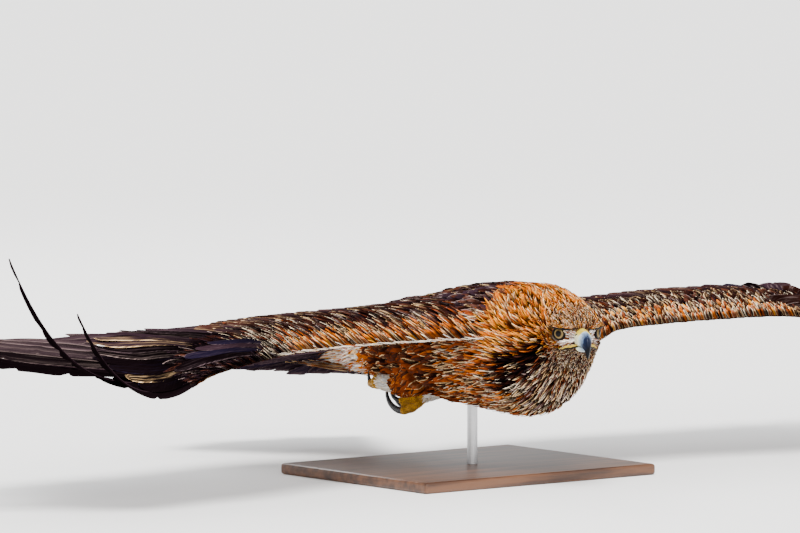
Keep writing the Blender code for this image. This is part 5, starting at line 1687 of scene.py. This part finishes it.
def brow_point(side, t, turn, grow):
    """Points around the ledge over an eye. The turn is 0 outward and a quarter turn on top."""
    middle, radius = brow_middle(side, t)
    heading = unit(brow_middle(side, t + 0.01)[0] - brow_middle(side, t - 0.01)[0])
    outward = -side * unit(np.cross(heading, (0.0, 0.0, 1.0)))
    above = side * np.cross(heading, outward)
    above = above * np.sign(above[..., 2:])
    return middle + (radius + grow)[..., None] * (outward * np.cos(turn)[..., None] + above * np.sin(turn)[..., None])


def brow_feathers(side, draw):
    """Small feathers that lie back over the ledge, painted dark below it as the shade under the brow."""
    count = BROW_FEATHERS
    rows = np.linspace(0.0, 1.0, 6)
    start = draw.uniform(-0.02, 0.90, count)
    turn = np.radians(draw.uniform(-60.0, 165.0, count))
    t = start[:, None] + draw.uniform(0.16, 0.26, (count, 1)) * rows
    spin = turn[:, None] + draw.normal(0.0, 0.20, (count, 1)) * rows
    grow = -0.0008 + draw.uniform(0.0010, 0.0022, (count, 1)) * rows
    path = brow_point(side, t, spin, grow)
    heading = unit(np.gradient(path, axis=1))
    across = square_to(brow_point(side, t, spin + 0.05, grow) - path, heading)
    wide = 0.5 * draw.uniform(0.0014, 0.0020, (count, 1)) * outline("lance", rows)
    # Feathers low on the ledge get dark paint, the painted shade under the brow
    low = ease(turn, 0.35, -0.05)
    group = {"path": path, "across": across, "above": unit(np.cross(heading, across)), "lead": wide, "trail": wide,
             "rows": rows, "arch": 0.15, "patch": np.stack((0.3 + 0.2 * side + 0.05 * turn, 0.02 + 0.05 * start), -1)}
    return dress(group, draw, {"brown": 0.5, "dark": 0.2, "rufous": 0.3 * ease(turn, 0.8, 1.6), "black": 3 * low},
                 {"buff": 0.35, "gold": 0.3, "brown": 0.4, "dark": 4 * low}, 0.42, 0.3)


def lid_arc(side, sweep, wide, high):
    """Directions from the middle of an eye to its lid."""
    cross = np.cross((0.0, 0.0, 1.0), eye_gaze(side))
    return cross * np.cos(sweep) * wide + np.array((0.0, 0.0, 1.0)) * np.sin(sweep) * high


for side, word in WORDS.items():
    gaze = eye_gaze(side)
    middle = EYES[side] + gaze * EYE_RADIUS * 0.74
    outer = lid_arc(side, turns(48)[:, None], 1.06, 0.94)
    place_piece("lids_" + word, ring_tube("lids", middle + outer * 0.0092, 0.0011), LID)
    outer = lid_arc(side, np.radians(np.linspace(195.0, 345.0, LOWER_LID_POINTS))[:, None], 1.08, 0.98)
    thick = 0.0016 * np.sin(np.linspace(0.15, 3.0, LOWER_LID_POINTS))
    place_piece("lower_lid_" + word, ring_tube("lower_lid", middle - gaze * 0.0016 + outer * 0.0112, thick, 10, False),
                PALE_LID)
    t, turn = np.meshgrid(np.linspace(0.0, 1.0, LEDGE_ROWS), turns(LEDGE_AROUND), indexing="ij")
    rings = brow_point(side, t, turn, np.full(t.shape, -0.0002))
    # The ledge wears the dark lid skin; where it shows under the feathers it is the painted shadow line over the eye
    place_piece("brow_" + word, loft("brow", rings), LID)
    group = brow_feathers(side, np.random.default_rng(90 + side))
    sweep_vanes("brow_feathers_" + word, group, GOLDEN)

# %% Bill
# Ahead of the eyes, level, slope in degrees, half width and half height
BILL_RINGS = (
    (0.0228, -0.0035, 0.0, 0.0112, 0.0118), (0.0310, -0.0040, -8.0, 0.0104, 0.0113),
    (0.0390, -0.0062, -22.0, 0.0088, 0.0102), (0.0460, -0.0108, -44.0, 0.0068, 0.0086),
    (0.0503, -0.0170, -66.0, 0.0050, 0.0064), (0.0518, -0.0232, -86.0, 0.0034, 0.0043),
    (0.0510, -0.0290, -100.0, 0.0019, 0.0024), (0.0496, -0.0338, -110.0, 0.0006, 0.0007),
)
MANDIBLE_RINGS = ((0.0228, 0.0096, 0.0068), (0.0285, 0.0088, 0.0064), (0.0330, 0.0072, 0.0055),
                  (0.0362, 0.0050, 0.0040), (0.0378, 0.0022, 0.0022))
MOUTH_LEVEL = -0.0158
CERE_END = 0.215
BILL_POINTS = 40
CERE_ROWS = 14
HOOK_ROWS = 60
MANDIBLE_ROWS = 30
MANDIBLE_AROUND = 32
MOUTH_POINTS = 20


def upper_bill(start, end, count, grow=0.0, around=BILL_POINTS):
    """Rings of the upper bill between two parts of its length."""
    last = len(BILL_RINGS) - 1
    part = np.linspace(start, end, count)[:, None]
    ahead, level, slope, wide, high = along([(i / last, *ring) for i, ring in enumerate(BILL_RINGS)], part)
    tilt = np.radians(slope)
    a = turns(around)[None]
    narrow = 1.0 - 0.24 * ease(np.sin(a), 0.2, 0.9)
    x = (wide + grow) * np.cos(a) * narrow
    z = (high + grow) * np.sin(a)
    z = np.where(z < 0, np.maximum(z * 1.6, -(high + grow)), z)
    return head_point(x, -(ahead - z * np.sin(tilt)), level + z * np.cos(tilt))


def bill_finish():
    """Horn of the bill: pale at the base, then blue-grey, black at the ridge and the hook."""
    made, tree, shader = plain_finish("bill_horn", (0.1, 0.1, 0.12), 0.30, 0.08)
    tone = math_node(tree, "ADD", attribute_node(tree, "tone", "Fac"), -0.125)
    cloud = noise_node(tree, object_place(tree), 300.0, 3.0)
    stops = ((0.0, (246, 234, 178)), (0.10, (206, 214, 196)), (0.25, (174, 188, 190)), (0.42, (98, 116, 142)),
             (0.58, (16, 24, 46)), (1.0, (5, 6, 10)))
    wire(tree, shader, "Base Color", ramp_node(tree, math_node(tree, "MULTIPLY_ADD", cloud, 0.25, tone), stops))
    relief(tree, shader, cloud, 0.08, 0.0006)
    return made


BILL_HORN = bill_finish()
GAPE_SKIN = scaly_finish("yellow_gape_skin", linear(232, 200, 74), linear(170, 130, 50), 2200.0)


def cere_finish():
    """Waxy skin over the bill's base: bright yellow on the ridge, pale grey-green at the sides."""
    made = scaly_finish("yellow_cere_skin", linear(255, 224, 40), linear(232, 192, 60), 2200.0)
    tree = made.node_tree
    shader = tree.nodes["Principled BSDF"]
    skin = shader.inputs["Base Color"].links[0].from_socket
    high = soft_step(tree, attribute_node(tree, "tone", "Fac"), 0.10, 0.62)
    wire(tree, shader, "Base Color", mix_node(tree, high, linear(236, 234, 196), skin))
    return made


ridge = np.sin(turns(BILL_POINTS))
cere = loft("cere", upper_bill(0.0, CERE_END, CERE_ROWS, 0.0004))
add_attribute(cere, "tone", "FLOAT", np.tile(ridge, CERE_ROWS))
place_piece("cere_skin", cere, cere_finish(), ("cere",))
for side, word in WORDS.items():
    edge = upper_bill(0.02, 0.14, 12, 0.0003, 72)
    spot = [edge[row, (2 + row // 3) if side > 0 else (34 - row // 3)] for row in range(2, 11)]
    slit = loft("nostril", tube_rings(spot, 0.0011 * np.sin(np.linspace(0.3, 2.8, 9)), 12))
    place_piece("nostril_" + word, slit, LID)
hook = loft("bill", upper_bill(CERE_END - 0.01, 1.0, HOOK_ROWS))
t = np.repeat(np.linspace(0, 1, HOOK_ROWS), BILL_POINTS)
tone = 0.14 + 1.25 * t + 0.16 * ease(np.tile(ridge, HOOK_ROWS), 0.1, 0.9)
add_attribute(hook, "tone", "FLOAT", np.clip(tone, 0, 1))
place_piece("bill_hook", hook, BILL_HORN, ("bill_upper",))
ahead = np.linspace(MANDIBLE_RINGS[0][0], MANDIBLE_RINGS[-1][0], MANDIBLE_ROWS)[:, None]
wide, deep = along(MANDIBLE_RINGS, ahead)
a = turns(MANDIBLE_AROUND)[None]
z = np.sin(a) * deep
mandible = loft("mandible", head_point(wide * np.cos(a), -ahead, MOUTH_LEVEL - 0.0024 + np.where(z > 0, 0.25 * z, z)))
add_attribute(mandible, "tone", "FLOAT", np.repeat(np.linspace(0.0, 0.40, MANDIBLE_ROWS), MANDIBLE_AROUND))
place_piece("bill_lower_horn", mandible, BILL_HORN, ("bill_lower",))

# Yellow edge of the mouth, back from the bill to below the eye, and the dark line of the mouth under it
back = np.linspace(-0.0290, 0.0000, MOUTH_POINTS)
t = np.linspace(0, 1, MOUTH_POINTS)
wavy = 0.0004 * np.sin(14.0 * t) + 0.0003 * np.sin(31.0 * t)
for side, word in WORDS.items():
    for name, lower, radius, skin in (("gape_", 0.0, 0.0019, GAPE_SKIN), ("mouth_", -0.0026, 0.0012, LID)):
        edge = head_point(side * np.interp(t, (0, 0.35, 1.0), (0.0086, 0.0158, 0.0280)), back,
                          wavy + lower + np.interp(t, (0, 0.4, 1), (-0.0150, -0.0170, -0.0218)))
        place_piece(name + word, loft(name, tube_rings(edge, radius * np.sin(np.pi * (0.15 + 0.80 * t)), 14)), skin)

# %% [markdown]
# ## Stand
# The stand only holds the model and should not compete with it: a dark wooden base with a soft grain and
# one steel rod. Both keep the solids' own shapes and only get better finishes.


# %% Wood and steel
def wood_finish():
    """Dark wood with a long grain."""
    made, tree, shader = plain_finish("stand_wood", (0.05, 0.03, 0.02), 0.42)
    grain = noise_node(tree, object_place(tree, (1.0, 14.0, 14.0)), 6.0, 5.0, 0.6)
    colour = mix_node(tree, soft_step(tree, grain, 0.35, 0.65), linear(56, 34, 22), linear(96, 62, 40))
    wire(tree, shader, "Base Color", colour)
    relief(tree, shader, grain, 0.15, 0.001)
    return made


def steel_finish():
    """Brushed steel."""
    made, tree, shader = plain_finish("stand_steel", (0.5, 0.5, 0.5), 0.32)
    shader.inputs["Metallic"].default_value = 1.0
    lines = noise_node(tree, object_place(tree, (1.0, 1.0, 30.0)), 60.0)
    wire(tree, shader, "Base Color", mix_node(tree, lines, (0.42, 0.42, 0.43), (0.60, 0.60, 0.61)))
    relief(tree, shader, lines, 0.1, 0.0004)
    return made


def refinish(node, finish):
    """Give a solid that stays a better finish."""
    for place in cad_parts[node].material_slots:
        place.link = "OBJECT"
        place.material = finish


refinish("stand_base", wood_finish())
refinish("stand_rod", steel_finish())
